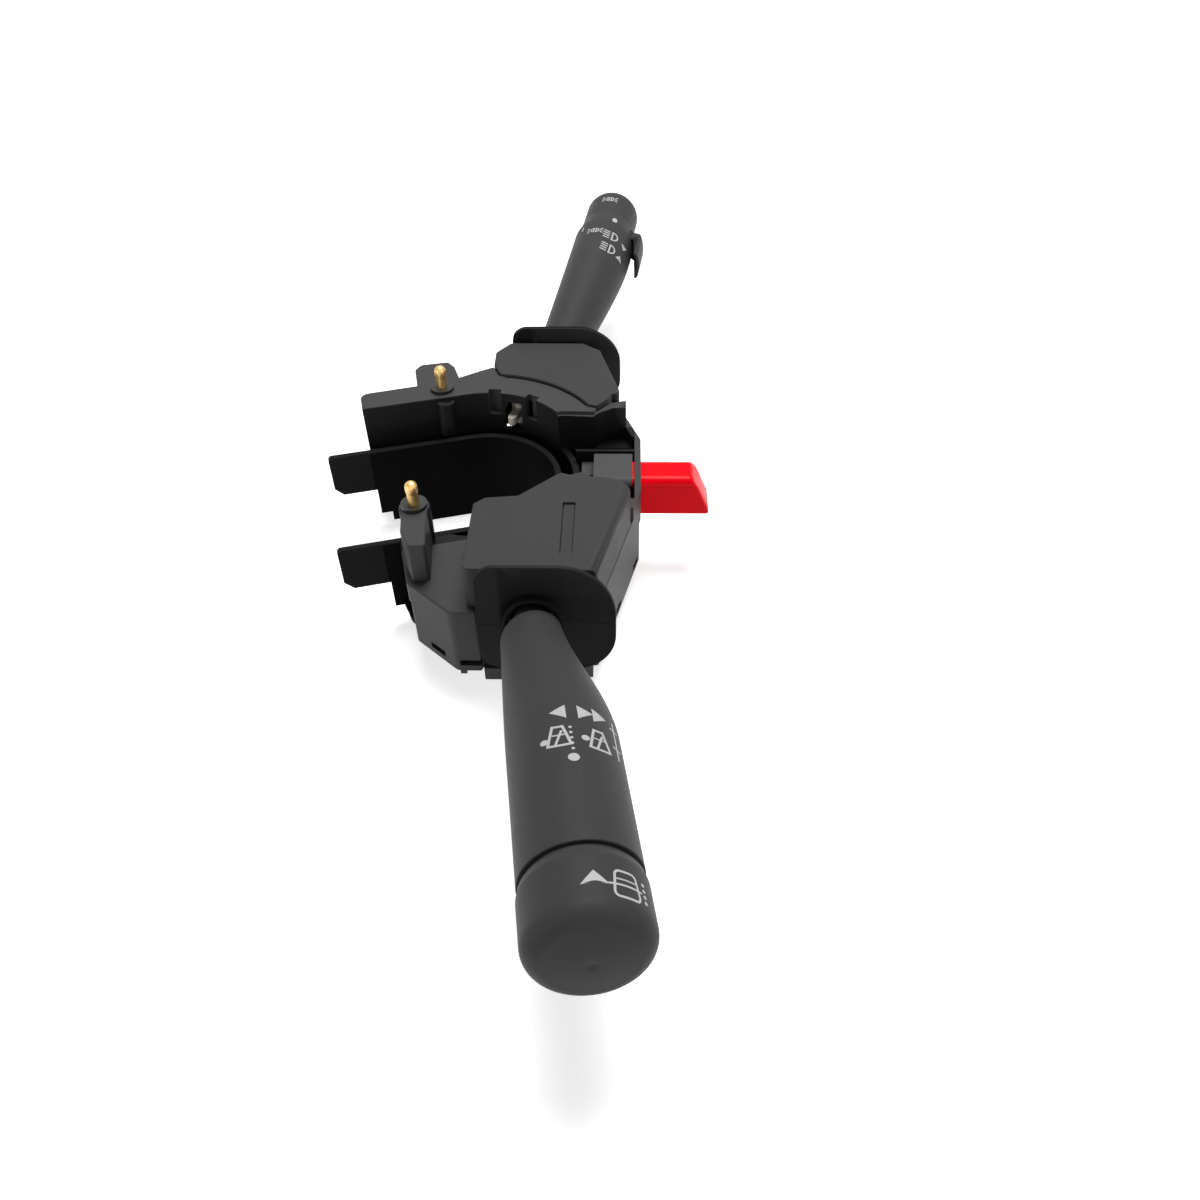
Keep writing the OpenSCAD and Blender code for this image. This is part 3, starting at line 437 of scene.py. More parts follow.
class Finish(Enum):
    """The finishes of this object."""

    # The housing and the saddle keep 0.05 of their colour in their painted shade zones.
    HOUSING = HousingPlastic("housing_plastic", (0.041, 0.041, 0.0415), specular=0.14, painted_shade_share=0.05)
    SADDLE = SaddlePlastic("saddle_plastic", (0.0105, 0.0105, 0.011), specular=0.035, painted_shade_share=0.05)
    COVER = Moulded("cover_plastic", (0.0355, 0.0355, 0.036), 0.54, specular=0.12)
    SHIELD = Moulded("shield_plastic", (0.016, 0.016, 0.0165), specular=0.06)
    STALK = Moulded("stalk_plastic", (0.0385, 0.0385, 0.039), 0.52, 5200.0, 0.00002, 0.15, specular=0.1)
    NATURAL = Moulded("natural_plastic", (0.62, 0.59, 0.5), 0.45, 2500.0, 0.00001, 0.0)
    SWITCH_GREY = Moulded("hazard_grey", (0.062, 0.062, 0.064), specular=0.12)
    BUSH = Moulded("bush_black", (0.012, 0.012, 0.012), 0.38, depth=0.00001, dust=0.1)
    CONNECTOR = Moulded("connector_black", (0.018, 0.018, 0.018), 0.48)
    BOARD = Moulded("board", (0.22, 0.14, 0.06), 0.5, 1800.0, 0.00001, 0.0)
    BRASS = Metal("brass", (0.72, 0.47, 0.17), 0.3)
    SPRING = Metal("spring_steel", (0.5, 0.5, 0.51), 0.3)
    STEEL = Metal("steel", (0.56, 0.56, 0.57), 0.32)
    TIN = Metal("tin", (0.66, 0.66, 0.64), 0.38)
    RED = GlossRed("hazard_red", (0.86, 0.0, 0.008), 0.3)
    PRINT = Printed("print_grey", (0.46, 0.46, 0.46), 0.55)


# Mesh helpers. Points are in millimetres in a local frame, and a matrix brings them to the row frame.


def placed(name: str, data: bpy.types.ID) -> bpy.types.Object:
    """A new object in the scene.

    Args:
        name: Its name.
        data: Its mesh, lamp or camera.

    Returns:
        The object.
    """
    thing = bpy.data.objects.new(name, data)
    bpy.context.scene.collection.objects.link(thing)
    return thing


def evaluated(shape: bpy.types.Object) -> bpy.types.Mesh:
    """The plain mesh that an object's modifiers give.

    Args:
        shape: The object, which is removed.

    Returns:
        The mesh.
    """
    graph = bpy.context.evaluated_depsgraph_get()
    mesh = bpy.data.meshes.new_from_object(shape.evaluated_get(graph), depsgraph=graph)
    bpy.data.objects.remove(shape)
    return mesh


def cleaned(
    source: bpy.types.Mesh, target: bpy.types.Mesh, weld: float, flat: float = 0.0, outward: bool = False
) -> bpy.types.Mesh:
    """Merges doubled corners.

    Args:
        source: The mesh to read.
        target: The mesh to write.
        weld: Corners closer than this are merged.
        flat: Faces that differ by less than this angle are joined.
        outward: True to turn every face outwards.

    Returns:
        The target.
    """
    work = bmesh.new()
    work.from_mesh(source)
    bmesh.ops.remove_doubles(work, verts=work.verts, dist=weld)
    if flat:
        bmesh.ops.dissolve_limit(work, angle_limit=flat, verts=work.verts, edges=work.edges)
    if outward:
        bmesh.ops.recalc_face_normals(work, faces=work.faces)
    work.to_mesh(target)
    work.free()
    return target


def mesh_of(shell: Shell, place: Matrix = ROW) -> bpy.types.Mesh:
    """Makes a closed mesh whose faces point outwards.

    Args:
        shell: Points in mm in the local frame, and faces.
        place: Local frame to row frame, in mm.

    Returns:
        The mesh, in metres.
    """
    mesh = bpy.data.meshes.new("mesh")
    mesh.from_pydata([tuple((place @ Vector(p)) * MM) for p in shell[0]], [], shell[1])
    return cleaned(mesh, mesh, FINE_WELD, outward=True)


def loft(rings: Rings, closed: bool = False) -> Shell:
    """Skin through rings of equal length.

    Args:
        rings: Rings of points.
        closed: True to join the last ring to the first, as in a torus.

    Returns:
        Points and faces.
    """
    size, count = len(rings[0]), len(rings)
    points = [p for ring in rings for p in ring]
    faces: list[list[int]] = []
    for j in range(count if closed else count - 1):
        a, b = j * size, (j + 1) % count * size
        faces += [[a + i, a + (i + 1) % size, b + (i + 1) % size, b + i] for i in range(size)]
    for j in () if closed else (0, count - 1):
        points.append(sum(rings[j], Vector()) / size)
        faces += [[j * size + i, j * size + (i + 1) % size, len(points) - 1] for i in range(size)]
    return points, faces


def join(*parts: Shell) -> Shell:
    """Puts shells into one list of points and one of faces.

    Args:
        parts: The shells.

    Returns:
        Points and faces.
    """
    points: list[Vector] = []
    faces: list[list[int]] = []
    for some, others in parts:
        base = len(points)
        points += some
        faces += [[base + i for i in face] for face in others]
    return points, faces


def moved(shell: Shell, place: Matrix) -> Shell:
    """A shell in another frame."""
    return [place @ p for p in shell[0]], shell[1]


def turn(angle: float, axis: str) -> Matrix:
    """Rotation by an angle in degrees."""
    return Matrix.Rotation(math.radians(angle), 4, axis)


def circle_angles(sides: int) -> list[float]:
    """Angles round a circle, in radians."""
    return [2 * math.pi * i / sides for i in range(sides)]


def hoop(x: float, r: float, sides: int, y: float = 0.0) -> list[Vector]:
    """Ring about the X axis, or about a line at y beside it."""
    return [Vector((x, y + r * math.cos(t), r * math.sin(t))) for t in circle_angles(sides)]


def hoop_along_y(x: float, y: float, z: float, r: float, sides: int) -> list[Vector]:
    """Ring about a line along Y."""
    return [Vector((x + r * math.cos(t), y, z + r * math.sin(t))) for t in circle_angles(sides)]


def turned(profile: Sequence[tuple[float, float]], sides: int) -> Shell:
    """Turns a profile of (distance along X, radius) about X. The ends close at the axis."""
    return loft([hoop(x, r, sides) for x, r in profile])


def bend(x: float, r: float, shoulder: float, step: float, turns: Iterable[int]) -> Outline:
    """Rounding of a turned profile from a flank inwards, in steps of some degrees."""
    angles = [math.radians(step * k) for k in turns]
    return [(x + shoulder * math.sin(t), r + shoulder * math.cos(t)) for t in angles]


def flank(start: float, end: float, r: float, steps: int = 8) -> Outline:
    """Straight part of a turned profile, cut into steps."""
    return [(start + (end - start) * k / steps, r) for k in range(steps + 1)]


def arc(cx: float, cy: float, r: float, start: float, end: float, steps: int) -> Outline:
    """Points along an arc, with angles in degrees."""
    angles = [math.radians(start + (end - start) * i / steps) for i in range(steps + 1)]
    return [(cx + r * math.cos(a), cy + r * math.sin(a)) for a in angles]


def ease(t: float) -> float:
    """Smooth step from 0 to 1."""
    t = max(0.0, min(1.0, t))
    return t * t * (3 - 2 * t)


def rounded_outline(corners: Sequence[tuple[float, float, float]], steps: int) -> Outline:
    """An outline from corners (x, y, radius), in order.

    Args:
        corners: Corners with their radii.
        steps: Segments of each rounding.

    Returns:
        The outline's points.
    """
    points: Outline = []
    for i, (x, y, r) in enumerate(corners):
        if r <= 0:
            points.append((x, y))
            continue
        here = Vector((x, y))
        u = (Vector(corners[i - 1][:2]) - here).normalized()
        w = (Vector(corners[(i + 1) % len(corners)][:2]) - here).normalized()
        half = math.acos(max(-1.0, min(1.0, u.dot(w)))) / 2
        centre = here + (u + w).normalized() * (r / math.sin(half))
        start, end = here + u * (r / math.tan(half)) - centre, here + w * (r / math.tan(half)) - centre
        sweep = math.pi - 2 * half
        for k in range(steps + 1):
            t = k / steps
            q = centre + (start * math.sin(sweep * (1 - t)) + end * math.sin(sweep * t)) / math.sin(sweep)
            points.append((q.x, q.y))
    return points


def mitres(path: Sequence[Sequence[float]], closed: bool, limit: float) -> list[Vector]:
    """Offsets of length 1 to the right of a path, longer at its corners.

    Args:
        path: The points.
        closed: True if the path closes on itself.
        limit: Keeps the offsets short at sharp corners.

    Returns:
        One offset for each point.
    """
    offsets = []
    count = len(path)
    for i, point in enumerate(path):
        here = Vector(point)
        before = here - Vector(path[i - 1]) if i or closed else None
        after = Vector(path[(i + 1) % count]) - here if i < count - 1 or closed else None
        u = (after if before is None else before).normalized()
        w = (before if after is None else after).normalized()
        normal = Vector((u.y, -u.x)) + Vector((w.y, -w.x))
        offsets.append(normal / max(limit, normal.length_squared / 2))
    return offsets


def edge_cutter(path: Outline, z: float, r: float, closed: bool = False) -> bpy.types.Mesh:
    """What a rounding takes off the top edge of an upright wall.

    Args:
        path: Points of the edge, with the solid on the left.
        z: Height of the edge.
        r: Radius of the rounding.
        closed: True if the path closes on itself.

    Returns:
        A closed mesh to subtract.
    """
    margin = 0.3
    section = [(-r + r * math.cos(a), -r + r * math.sin(a)) for a in [math.radians(90 - 22.5 * k) for k in range(5)]]
    section += [(margin, -r), (margin, margin), (-r, margin)]
    rings: Rings = []
    for here, away in zip([Vector(p) for p in path], mitres(path, closed, 0.4)):
        rings.append([Vector((here.x + away.x * o, here.y + away.y * o, z + up)) for o, up in section])
    return mesh_of(loft(rings, closed))


def prism(outline: Outline, low: float, high: float) -> bpy.types.Mesh:
    """A closed mesh between two heights over an outline."""
    return mesh_of(loft([[Vector((x, y, z)) for x, y in outline] for z in (low, high)]))


def block(low: Sequence[float], high: Sequence[float], r: float = 0.4) -> Shell:
    """A block with rounded upright edges and a small chamfer above and below.

    Args:
        low: Lowest corner.
        high: Highest corner.
        r: Radius of the edges.

    Returns:
        Points and faces.
    """
    (x0, y0, z0), (x1, y1, z1) = low, high
    full = rounded_outline([(x0, y0, r), (x1, y0, r), (x1, y1, r), (x0, y1, r)], 4)
    cx, cy = (x0 + x1) / 2, (y0 + y1) / 2
    rings: Rings = []
    for z, inset in ((z0, r * 0.6), (z0 + r * 0.6, 0), (z1 - r * 0.6, 0), (z1, r * 0.6)):
        kx, ky = (1 - inset / max(0.1, size / 2) for size in (x1 - x0, y1 - y0))
        rings.append([Vector((cx + (x - cx) * kx, cy + (y - cy) * ky, z)) for x, y in full])
    return loft(rings)


def slot_point(n: float, u: float) -> tuple[float, float]:
    """A point given across and along the saddle's slot."""
    c, s = math.cos(SLOT_TURN), math.sin(SLOT_TURN)
    return n * c - u * s, n * s + u * c


class Workshop:
    """Makes materials once and turns meshes into pieces that ride on bodies."""

    def __init__(self) -> None:
        """Starts with no material made and reads which body carries each node."""
        self.made: dict[Finish, bpy.types.Material] = {}
        bodies = frame["record"]["behaviour"]["bodies"]
        self.carrier = {node: body for body, nodes in bodies.items() for node in nodes}

    def material(self, finish: Finish) -> bpy.types.Material:
        """The material of a finish."""
        if finish not in self.made:
            self.made[finish] = finish.value.material()
        return self.made[finish]

    def piece(
        self,
        name: str,
        mesh: bpy.types.Mesh,
        finish: Finish,
        body: str,
        instead_of: Sequence[str] = (),
        sharp: float = SHARP,
    ) -> bpy.types.Object:
        """Makes a piece of a mesh whose place is already in it.

        Args:
            name: The piece's name.
            mesh: The mesh, in metres in the row frame.
            finish: Its finish.
            body: The body that it rides on.
            instead_of: CAD nodes that it stands for.
            sharp: Angle in degrees above which an edge stays sharp.

        Returns:
            The piece.
        """
        mesh.name = name
        mesh.materials.clear()
        mesh.materials.append(self.material(finish))
        mesh.polygons.foreach_set("use_smooth", [True] * len(mesh.polygons))
        mesh.set_sharp_from_angle(angle=math.radians(sharp))
        piece = placed(name, mesh)
        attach(piece, body)
        if instead_of:
            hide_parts(*instead_of)
        weights = piece.modifiers.new("weights", "WEIGHTED_NORMAL")
        weights.keep_sharp = True
        LOG.info("%s: %d faces on %s", name, len(mesh.polygons), body)
        return piece

    def dress(self, node: str, finish: Finish) -> None:
        """Gives a CAD node its finish."""
        for slot in frame["nodes"][node].material_slots:
            slot.material = self.material(finish)
        LOG.info("%s: dressed in %s", node, finish.value.name)

    def softened(
        self,
        node: str,
        finish: Finish,
        cutters: Sequence[bpy.types.Mesh] = (),
        fillers: Sequence[bpy.types.Mesh] = (),
    ) -> bpy.types.Object:
        """Replaces a CAD node by a smooth-shaded copy, with some edges rounded as a mould leaves them.

        Args:
            node: The CAD node.
            finish: Its finish.
            cutters: Meshes that take the edges off.
            fillers: Meshes that are joined on first.

        Returns:
            The piece.
        """
        shape = placed(node, cleaned(frame["nodes"][node].data, bpy.data.meshes.new(node), WELD))
        tools = []
        for operation, form in [*(("UNION", m) for m in fillers), *(("DIFFERENCE", m) for m in cutters)]:
            tools.append(placed("tool", form))
            cut = shape.modifiers.new("cut", "BOOLEAN")
            cut.operation, cut.solver, cut.object = operation, "MANIFOLD", tools[-1]
        final = evaluated(shape)
        for tool in tools:
            bpy.data.objects.remove(tool)
        final = cleaned(final, final, WELD, FLAT)
        return self.piece(node + "_soft", final, finish, self.carrier[node], (node,), SHARP_MOULD)


@dataclass(frozen=True)
class Side:
    """One side of the switch: +1 for the wiper stalk, -1 for the indicator stalk."""

    name: str
    sign: int
    neck: tuple[float, float, float] = (72.1, 22.3, 34.0)
    rise: float = 7.5
    sweep: float = 8.5
    trunnion: tuple[float, float] = (44.0, 21.0)
    hinge_x: float = 60.0

    @property
    def mirror(self) -> Matrix:
        """Mirror for the indicator side."""
        return Matrix.Diagonal((self.sign, 1, 1, 1))

    @property
    def on_shield(self) -> Matrix:
        """Frame of the shield, in mm."""
        return self.mirror @ Matrix.Translation(self.neck) @ turn(-self.rise, "Y")

    @property
    def on_neck(self) -> Matrix:
        """Frame of the stalk, with X along it, in mm."""
        return self.mirror @ Matrix.Translation(self.neck) @ (turn(self.sweep, "Z") @ turn(-self.rise, "Y"))

    @property
    def hinge_z(self) -> float:
        """Height of the hinge pin."""
        return self.neck[2] - (self.neck[0] - self.hinge_x) * math.tan(math.radians(self.rise))


WIPER = Side("wiper", 1)
INDICATOR = Side("indicator", -1)


# Stalks.


@dataclass
class Stalk:
    """A stalk's skin, its neck and its tongue."""

    side: Side
    barrel_r: float
    wide: float
    thick: float
    length: float
    nose_r: float
    nose_length: float
    throat_r: float = 9.2
    lip_x: float = 3.7
    lip_round: float = 1.0
    neck_r: float = 5.8
    neck_back: float = -8.4
    shift: float = 3.9
    throat_shift: float = 0.9
    edge: float = 0.35
    tongue_half: float = 6.0
    eye_r: float = 5.4
    pin_r: float = 2.05
    sides: int = 112
    eye_sides: int = 48

    def radii(self, x: float) -> tuple[float, float, float]:
        """Half width, half thickness and offset of the skin.

        Args:
            x: Distance along the stalk.

        Returns:
            The three sizes, in mm.
        """
        lip = max(0.0, 1 - (x - self.lip_x) / 5) ** 2
        start = self.throat_r - self.lip_round * lip
        grow = ease(x / self.wide)
        a = start + (self.barrel_r - self.throat_r) * grow
        b = start + (self.barrel_r - self.throat_r) * ease(x / self.thick)
        return a, b, self.shift * grow - self.throat_shift * (1 - lip) * (1 - grow)

    def surface(self, x: float, angle: float, lift: float = 0.0) -> Vector:
        """Point at x and an angle in radians, lift above the skin."""
        a, b, y = self.radii(x)
        return Vector((x, y + (a + lift) * math.cos(angle), (b + lift) * math.sin(angle)))

    def ring(self, x: float, lift: float = 0.0) -> list[Vector]:
        """Ring of the skin at x."""
        return [self.surface(x, t, lift) for t in circle_angles(self.sides)]

    def stations(self) -> list[float]:
        """Places of the skin's rings, close together at the lip."""
        start, step = self.lip_x + 4.4, 1.6
        lip = [self.lip_x + 0.35 * i for i in range(12)]
        return lip + [start + step * i for i in range(int((self.length - start) / step))]

    def skin_rings(self) -> Rings:
        """Rings from the neck out over the lip and along to the nose.

        Returns:
            The rings, in the stalk's frame.
        """
        rings = [hoop(x, self.neck_r, self.sides) for x in (self.neck_back, self.lip_x + 1.2)]
        rings += [self.ring(self.lip_x + x, lift) for x, lift in ((0.55, -1.5), (0.0, -0.9), (0.0, -0.45), (0.0, -0.2))]
        rings += [self.ring(x) for x in self.stations() if x < self.length - self.edge]
        for k in range(5):
            t = math.radians(90 * k / 4)
            rings.append(self.ring(self.length - self.edge * (1 - math.sin(t)), -self.edge * (1 - math.cos(t))))
        return rings + [hoop(self.length + x, self.nose_r, self.sides, self.shift) for x in (0, self.nose_length)]

    def tongue(self) -> Shell:
        """Tongue between the carrier's cheeks.

        Returns:
            Its bar and its eye, in the row frame of the wiper side.
        """
        y, z, x = self.side.trunnion[1], self.side.hinge_z, self.side.hinge_x
        half, r, fine = self.tongue_half, self.eye_r, 0.4
        section = [(-half, r - fine), (fine - half, r), (half - fine, r), (half, r - fine)]
        section += [(half, self.pin_r), (-half, self.pin_r)]
        eye = loft([hoop_along_y(x, y + across, z, reach, self.eye_sides) for across, reach in section], True)
        return join(block((x + 2.6, y - half, z - 4.6), (x + 5.6, y + half, z + 4.6)), eye)

    def build(self, shop: Workshop) -> bpy.types.Object:
        """Builds the stalk in place of its CAD node."""
        body = self.side.name + "_stalk"
        shell = join(moved(loft(self.skin_rings()), self.side.on_neck), moved(self.tongue(), self.side.mirror))
        return shop.piece(body + "_skin", mesh_of(shell), Finish.STALK, body, (body,), SHARP_STALK)


@dataclass
class EndCap:
    """Push-button cap on the wiper stalk."""

    stalk: Stalk
    radius: float = 15.1
    start: float = 99.1
    tip: float = 118.7
    shoulder: float = 5.2
    crown: float = 60.0
    cavity: float = 14.1
    inner_end: float = 103.2
    stem_r: float = 5.0
    stem_end: float = 89.5
    lead: float = 2.6
    tuck: float = 0.55
    edge: float = 0.4
    dimple: float = 0.35
    dimple_r: float = 1.1
    sides: int = 128

    def profile(self) -> Outline:
        """Profile from the stem's end round the cap to the dimple.

        Returns:
            Points (distance along the stalk, radius).
        """
        points = [(self.stem_end, 0.0), (self.stem_end, self.stem_r), (self.inner_end, self.stem_r)]
        points += [(self.inner_end, self.cavity), (self.start + self.edge, self.cavity)]
        points += [(self.start, self.cavity + self.edge)]
        points += [(self.start + self.lead * k / 8, self.radius - self.tuck * (1 - ease(k / 8))) for k in range(9)]
        centre_r = self.radius - self.shoulder
        end = self.tip - self.shoulder - (self.crown - math.sqrt(self.crown**2 - centre_r**2))
        points += flank(self.start + self.lead + 1, end, self.radius)
        points += bend(end, centre_r, self.shoulder, 8, range(1, 11))
        base = self.tip - self.crown
        start_r = centre_r + self.shoulder * math.cos(math.radians(80))
        for r in [start_r * (1 - k / 16) for k in range(1, 16)]:
            pressed = self.dimple * math.exp(-((r / self.dimple_r) ** 2))
            points.append((base + math.sqrt(self.crown**2 - r * r) - pressed, r))
        return [*points, (self.tip - self.dimple, 0.0)]

    def build(self, shop: Workshop) -> bpy.types.Object:
        """Builds the cap in place of its CAD node."""
        place = self.stalk.side.on_neck @ Matrix.Translation((0, self.stalk.shift, 0))
        mesh = mesh_of(turned(self.profile(), self.sides), place)
        return shop.piece("end_cap_skin", mesh, Finish.STALK, "end_cap", ("end_cap",), SHARP_STALK)

    def surface(self, x: float, angle: float, lift: float = 0.0) -> Vector:
        """Point of the cap's flank in the stalk's frame."""
        r = self.radius + lift
        return Vector((x, self.stalk.shift + r * math.cos(angle), r * math.sin(angle)))


@dataclass
class LightKnob:
    """Rotary light knob with its thumb tab."""

    stalk: Stalk
    base_r: float = 12.7
    radius: float = 11.7
    start: float = 88.4
    tip: float = 119.4
    shoulder: float = 8.5
    crown: float = 60.0
    stem_r: float = 4.5
    stem_end: float = 76.2
    taper: float = 9.0
    edge: float = 0.35
    tab_rise: float = 4.8
    tab_back: float = 14.0
    tab_angle: float = 42.0
    tab_wall: float = 1.7
    sides: int = 112

    def profile(self) -> Outline:
        """Profile from the stem's end round the knob to the tip.

        Returns:
            Points (distance along the stalk, radius).
        """
        edge = self.edge
        points = [(self.stem_end, 0.0), (self.stem_end, self.stem_r), (self.start, self.stem_r)]
        points += [(self.start, self.base_r - edge), (self.start + edge * 0.3, self.base_r - edge * 0.3)]
        points += [(self.start + edge, self.base_r)]
        grown = [ease(k / 8) for k in range(1, 9)]
        points += [(self.start + self.taper * e, self.base_r - (self.base_r - self.radius) * e) for e in grown]
        base = self.tip - self.crown
        centre_r = self.radius - self.shoulder
        end = base + math.sqrt((self.crown - self.shoulder) ** 2 - centre_r**2)
        points += flank(self.start + self.taper + 0.5, end, self.radius)
        points += bend(end, centre_r, self.shoulder, 6, range(1, 15))
        start_r = centre_r + self.shoulder * math.cos(math.radians(84))
        points += [(base + math.sqrt(self.crown**2 - r * r), r) for r in [start_r * (1 - k / 8) for k in range(1, 8)]]
        return [*points, (self.tip, 0.0)]

    def surface(self, x: float, angle: float, lift: float = 0.0) -> Vector:
        """Point of the knob's skin in the stalk's frame.

        Args:
            x: Distance along the stalk.
            angle: Angle round it, in radians.
            lift: Height above the skin.

        Returns:
            The point, in mm.
        """
        r = self.radius
        profile = [point for point in self.profile()[5:] if point[1] > 0]
        for (x0, r0), (x1, r1) in zip(profile, profile[1:]):
            if x0 <= x <= x1 and x1 > x0:
                r = r0 + (r1 - r0) * (x - x0) / (x1 - x0)
                break
        return Vector((x, self.stalk.shift + (r + lift) * math.cos(angle), (r + lift) * math.sin(angle)))

    def tab(self) -> Shell:
        """Thumb tab: a shell that leaves the knob and reaches back over the barrel.

        Returns:
            Points and faces in the stalk's frame.
        """
        outer = self.stalk.barrel_r + self.tab_rise
        inner = outer - self.tab_wall
        middle, half = (inner + outer) / 2, self.tab_angle / 2
        length, radius = self.stalk.length, self.radius
        back, front = length - self.tab_back, length + 0.5
        section = [(front, radius - 2), (front, inner - 1.2), (front - 1.2, inner), (back + 0.5, inner)]
        section += [(back, inner + 0.5), (back, outer - 0.5), (back + 0.5, outer), (length - 1, outer)]
        section += [(length + 1.5, outer - 0.4), (length + 5, radius + 1.6), (length + 8, radius + 0.3)]
        section += [(length + 10, radius - 0.4), (length + 10, radius - 2)]
        rings: Rings = []
        for k in range(19):
            t = -half + self.tab_angle * k / 18
            close = max(0.0, (abs(t) - half + 4) / 4)
            angle = math.radians(t)
            ring = []
            for x, r in section:
                q = r if r < inner - 1 else middle + (r - middle) * (1 - 0.55 * close**2)
                ring.append(Vector((x, self.stalk.shift + q * math.cos(angle), q * math.sin(angle))))
            rings.append(ring)
        return loft(rings)

    def build(self, shop: Workshop) -> bpy.types.Object:
        """Builds the knob in place of its CAD node."""
        body = moved(turned(self.profile(), self.sides), Matrix.Translation((0, self.stalk.shift, 0)))
        mesh = mesh_of(join(body, self.tab()), self.stalk.side.on_neck)
        return shop.piece("light_knob_skin", mesh, Finish.STALK, "light_knob", ("light_knob",), SHARP_STALK)


# Printed marks.


@dataclass(frozen=True)
class Mark:
    """A flat shape in mm: across to the right and along towards the stalk's tip."""

    outline: tuple[tuple[float, float], ...]
    width: float = 0.0
    closed: bool = False

    def quads(self) -> list[list[Sequence[float]]]:
        """The shape as small convex faces.

        Returns:
            A filled outline's fan, or the strips of a stroke of the given width.
        """
        n = len(self.outline)
        if self.width <= 0:
            centre = (sum(p[0] for p in self.outline) / n, sum(p[1] for p in self.outline) / n)
            return [[self.outline[i], self.outline[(i + 1) % n], centre] for i in range(n)]
        offsets = [away * self.width / 2 for away in mitres(self.outline, self.closed, 0.5)]
        left = [tuple(Vector(p) - away) for p, away in zip(self.outline, offsets)]
        right = [tuple(Vector(p) + away) for p, away in zip(self.outline, offsets)]
        pairs = [(i, (i + 1) % n) for i in range(n if self.closed else n - 1)]
        return [[left[i], left[k], right[k], right[i]] for i, k in pairs]


def disc(x: float, y: float, r: float) -> Mark:
    """A filled round mark."""
    return Mark(tuple(arc(x, y, r, 0, 337.5, 15)))


def stroke(points: Sequence[tuple[float, float]], width: float = 0.5, closed: bool = False) -> Mark:
    """A line of the given width."""
    return Mark(tuple(points), width, closed)


def screen_icon() -> list[Mark]:
    """Windscreen outline with a wiper."""
    glass = arc(0, -9.0, 5.3, 103, 77, 6) + arc(0, -9.0, 12.1, 77, 103, 8)
    sweep = stroke(arc(0, -9.0, 8.4, 80, 100, 5), 0.45)
    return [stroke(glass, 0.7, True), stroke([(-0.9, 2.8), (0.9, -2.2)], 0.6), sweep]


def rear_icon() -> list[Mark]:
    """Rear window outline with a wiper line and drops."""
    box = rounded_outline([(-3.4, 3.4, 1.2), (3.4, 3.4, 1.2), (2.6, -3.4, 1.2), (-2.6, -3.4, 1.2)], 4)
    marks = [stroke(box, 0.6, True), stroke([(-4.4, 0.3), (4.2, 0.3)]), stroke([(-3.0, -1.2), (3.0, -1.2)], 0.4)]
    return marks + [disc(5.2, y, 0.5) for y in (-2.4, -0.8, 0.8, 2.4)]


def lamp_icon() -> list[Mark]:
    """Headlamp outline with four rays."""
    rays = [stroke([(-1.2, y), (-4.2, y + 0.5)], 0.6) for y in (-2.2, -0.7, 0.8, 2.2)]
    return [stroke(arc(0, 0, 2.6, -90, 90, 8), 0.7, True), *rays]


def side_lamp_icon() -> list[Mark]:
    """Two small lamps back to back with rays.

    Returns:
        The marks.
    """
    marks = []
    for s in (-1, 1):
        angles = [math.radians(-90 + 30 * k) for k in range(7)]
        bowl = [(s * (0.5 + 1.2 * math.cos(t)), 1.3 * math.sin(t)) for t in angles]
        marks.append(stroke(bowl, 0.5, True))
        marks += [stroke([(s * 2.3, y), (s * 3.5, y * 1.8)]) for y in (-0.9, 0.0, 0.9)]
    return marks


def arrow(size: float, quarter_turns: int) -> list[Mark]:
    """Filled triangle.

    Args:
        size: Its length.
        quarter_turns: 0 points right, 1 towards the tip, 2 left and 3 towards the neck.

    Returns:
        One mark.
    """
    points = [(size * 0.5, 0.0), (-size * 0.4, size * 0.6), (-size * 0.4, -size * 0.6)]
    for _ in range(quarter_turns):
        points = [(-y, x) for x, y in points]
    return [Mark(tuple(points))]


@dataclass
class Print:
    """Marks printed on a round surface, each at x along the stalk and an angle in degrees."""

    name: str
    side: Side
    body: str
    surface: Callable[[float, float, float], Vector]
    radius: float
    entries: Sequence[tuple[float, float, list[Mark]]]
    lift: float = 0.05
    sink: float = 0.08
    cell: float = 0.8

    def build(self, shop: Workshop) -> bpy.types.Object:
        """Lays every mark on the surface as a thin closed film.

        Args:
            shop: The workshop.

        Returns:
            The piece.
        """
        work = bmesh.new()
        for x, angle, marks in self.entries:
            for quad in [quad for mark in marks for quad in mark.quads()]:
                work.faces.new([work.verts.new((x + p[1], math.radians(angle) - p[0] / self.radius, 0)) for p in quad])
        bmesh.ops.remove_doubles(work, verts=work.verts, dist=0.00001)
        for _ in range(3):
            long = [e for e in work.edges if self.length(e) > self.cell]
            if long:
                bmesh.ops.subdivide_edges(work, edges=long, cuts=1, use_grid_fill=False)
        bmesh.ops.triangulate(work, faces=work.faces)
        lower = list(work.verts)
        grown = bmesh.ops.extrude_face_region(work, geom=list(work.faces))
        upper = [v for v in grown["geom"] if isinstance(v, bmesh.types.BMVert)]
        for film, height in ((upper, self.lift), (lower, -self.sink)):
            for v in film:
                v.co = self.side.on_neck @ self.surface(v.co.x, v.co.y, height) * MM
        bmesh.ops.recalc_face_normals(work, faces=work.faces)
        mesh = bpy.data.meshes.new(self.name)
        work.to_mesh(mesh)
        work.free()
        return shop.piece(self.name, mesh, Finish.PRINT, self.body, (), SHARP_THIN)

    def length(self, edge: bmesh.types.BMEdge) -> float:
        """Length of a flat edge in mm, once it is laid on the surface."""
        a, b = edge.verts[0].co, edge.verts[1].co
        return math.hypot(a.x - b.x, (a.y - b.y) * self.radius)


# Shields.


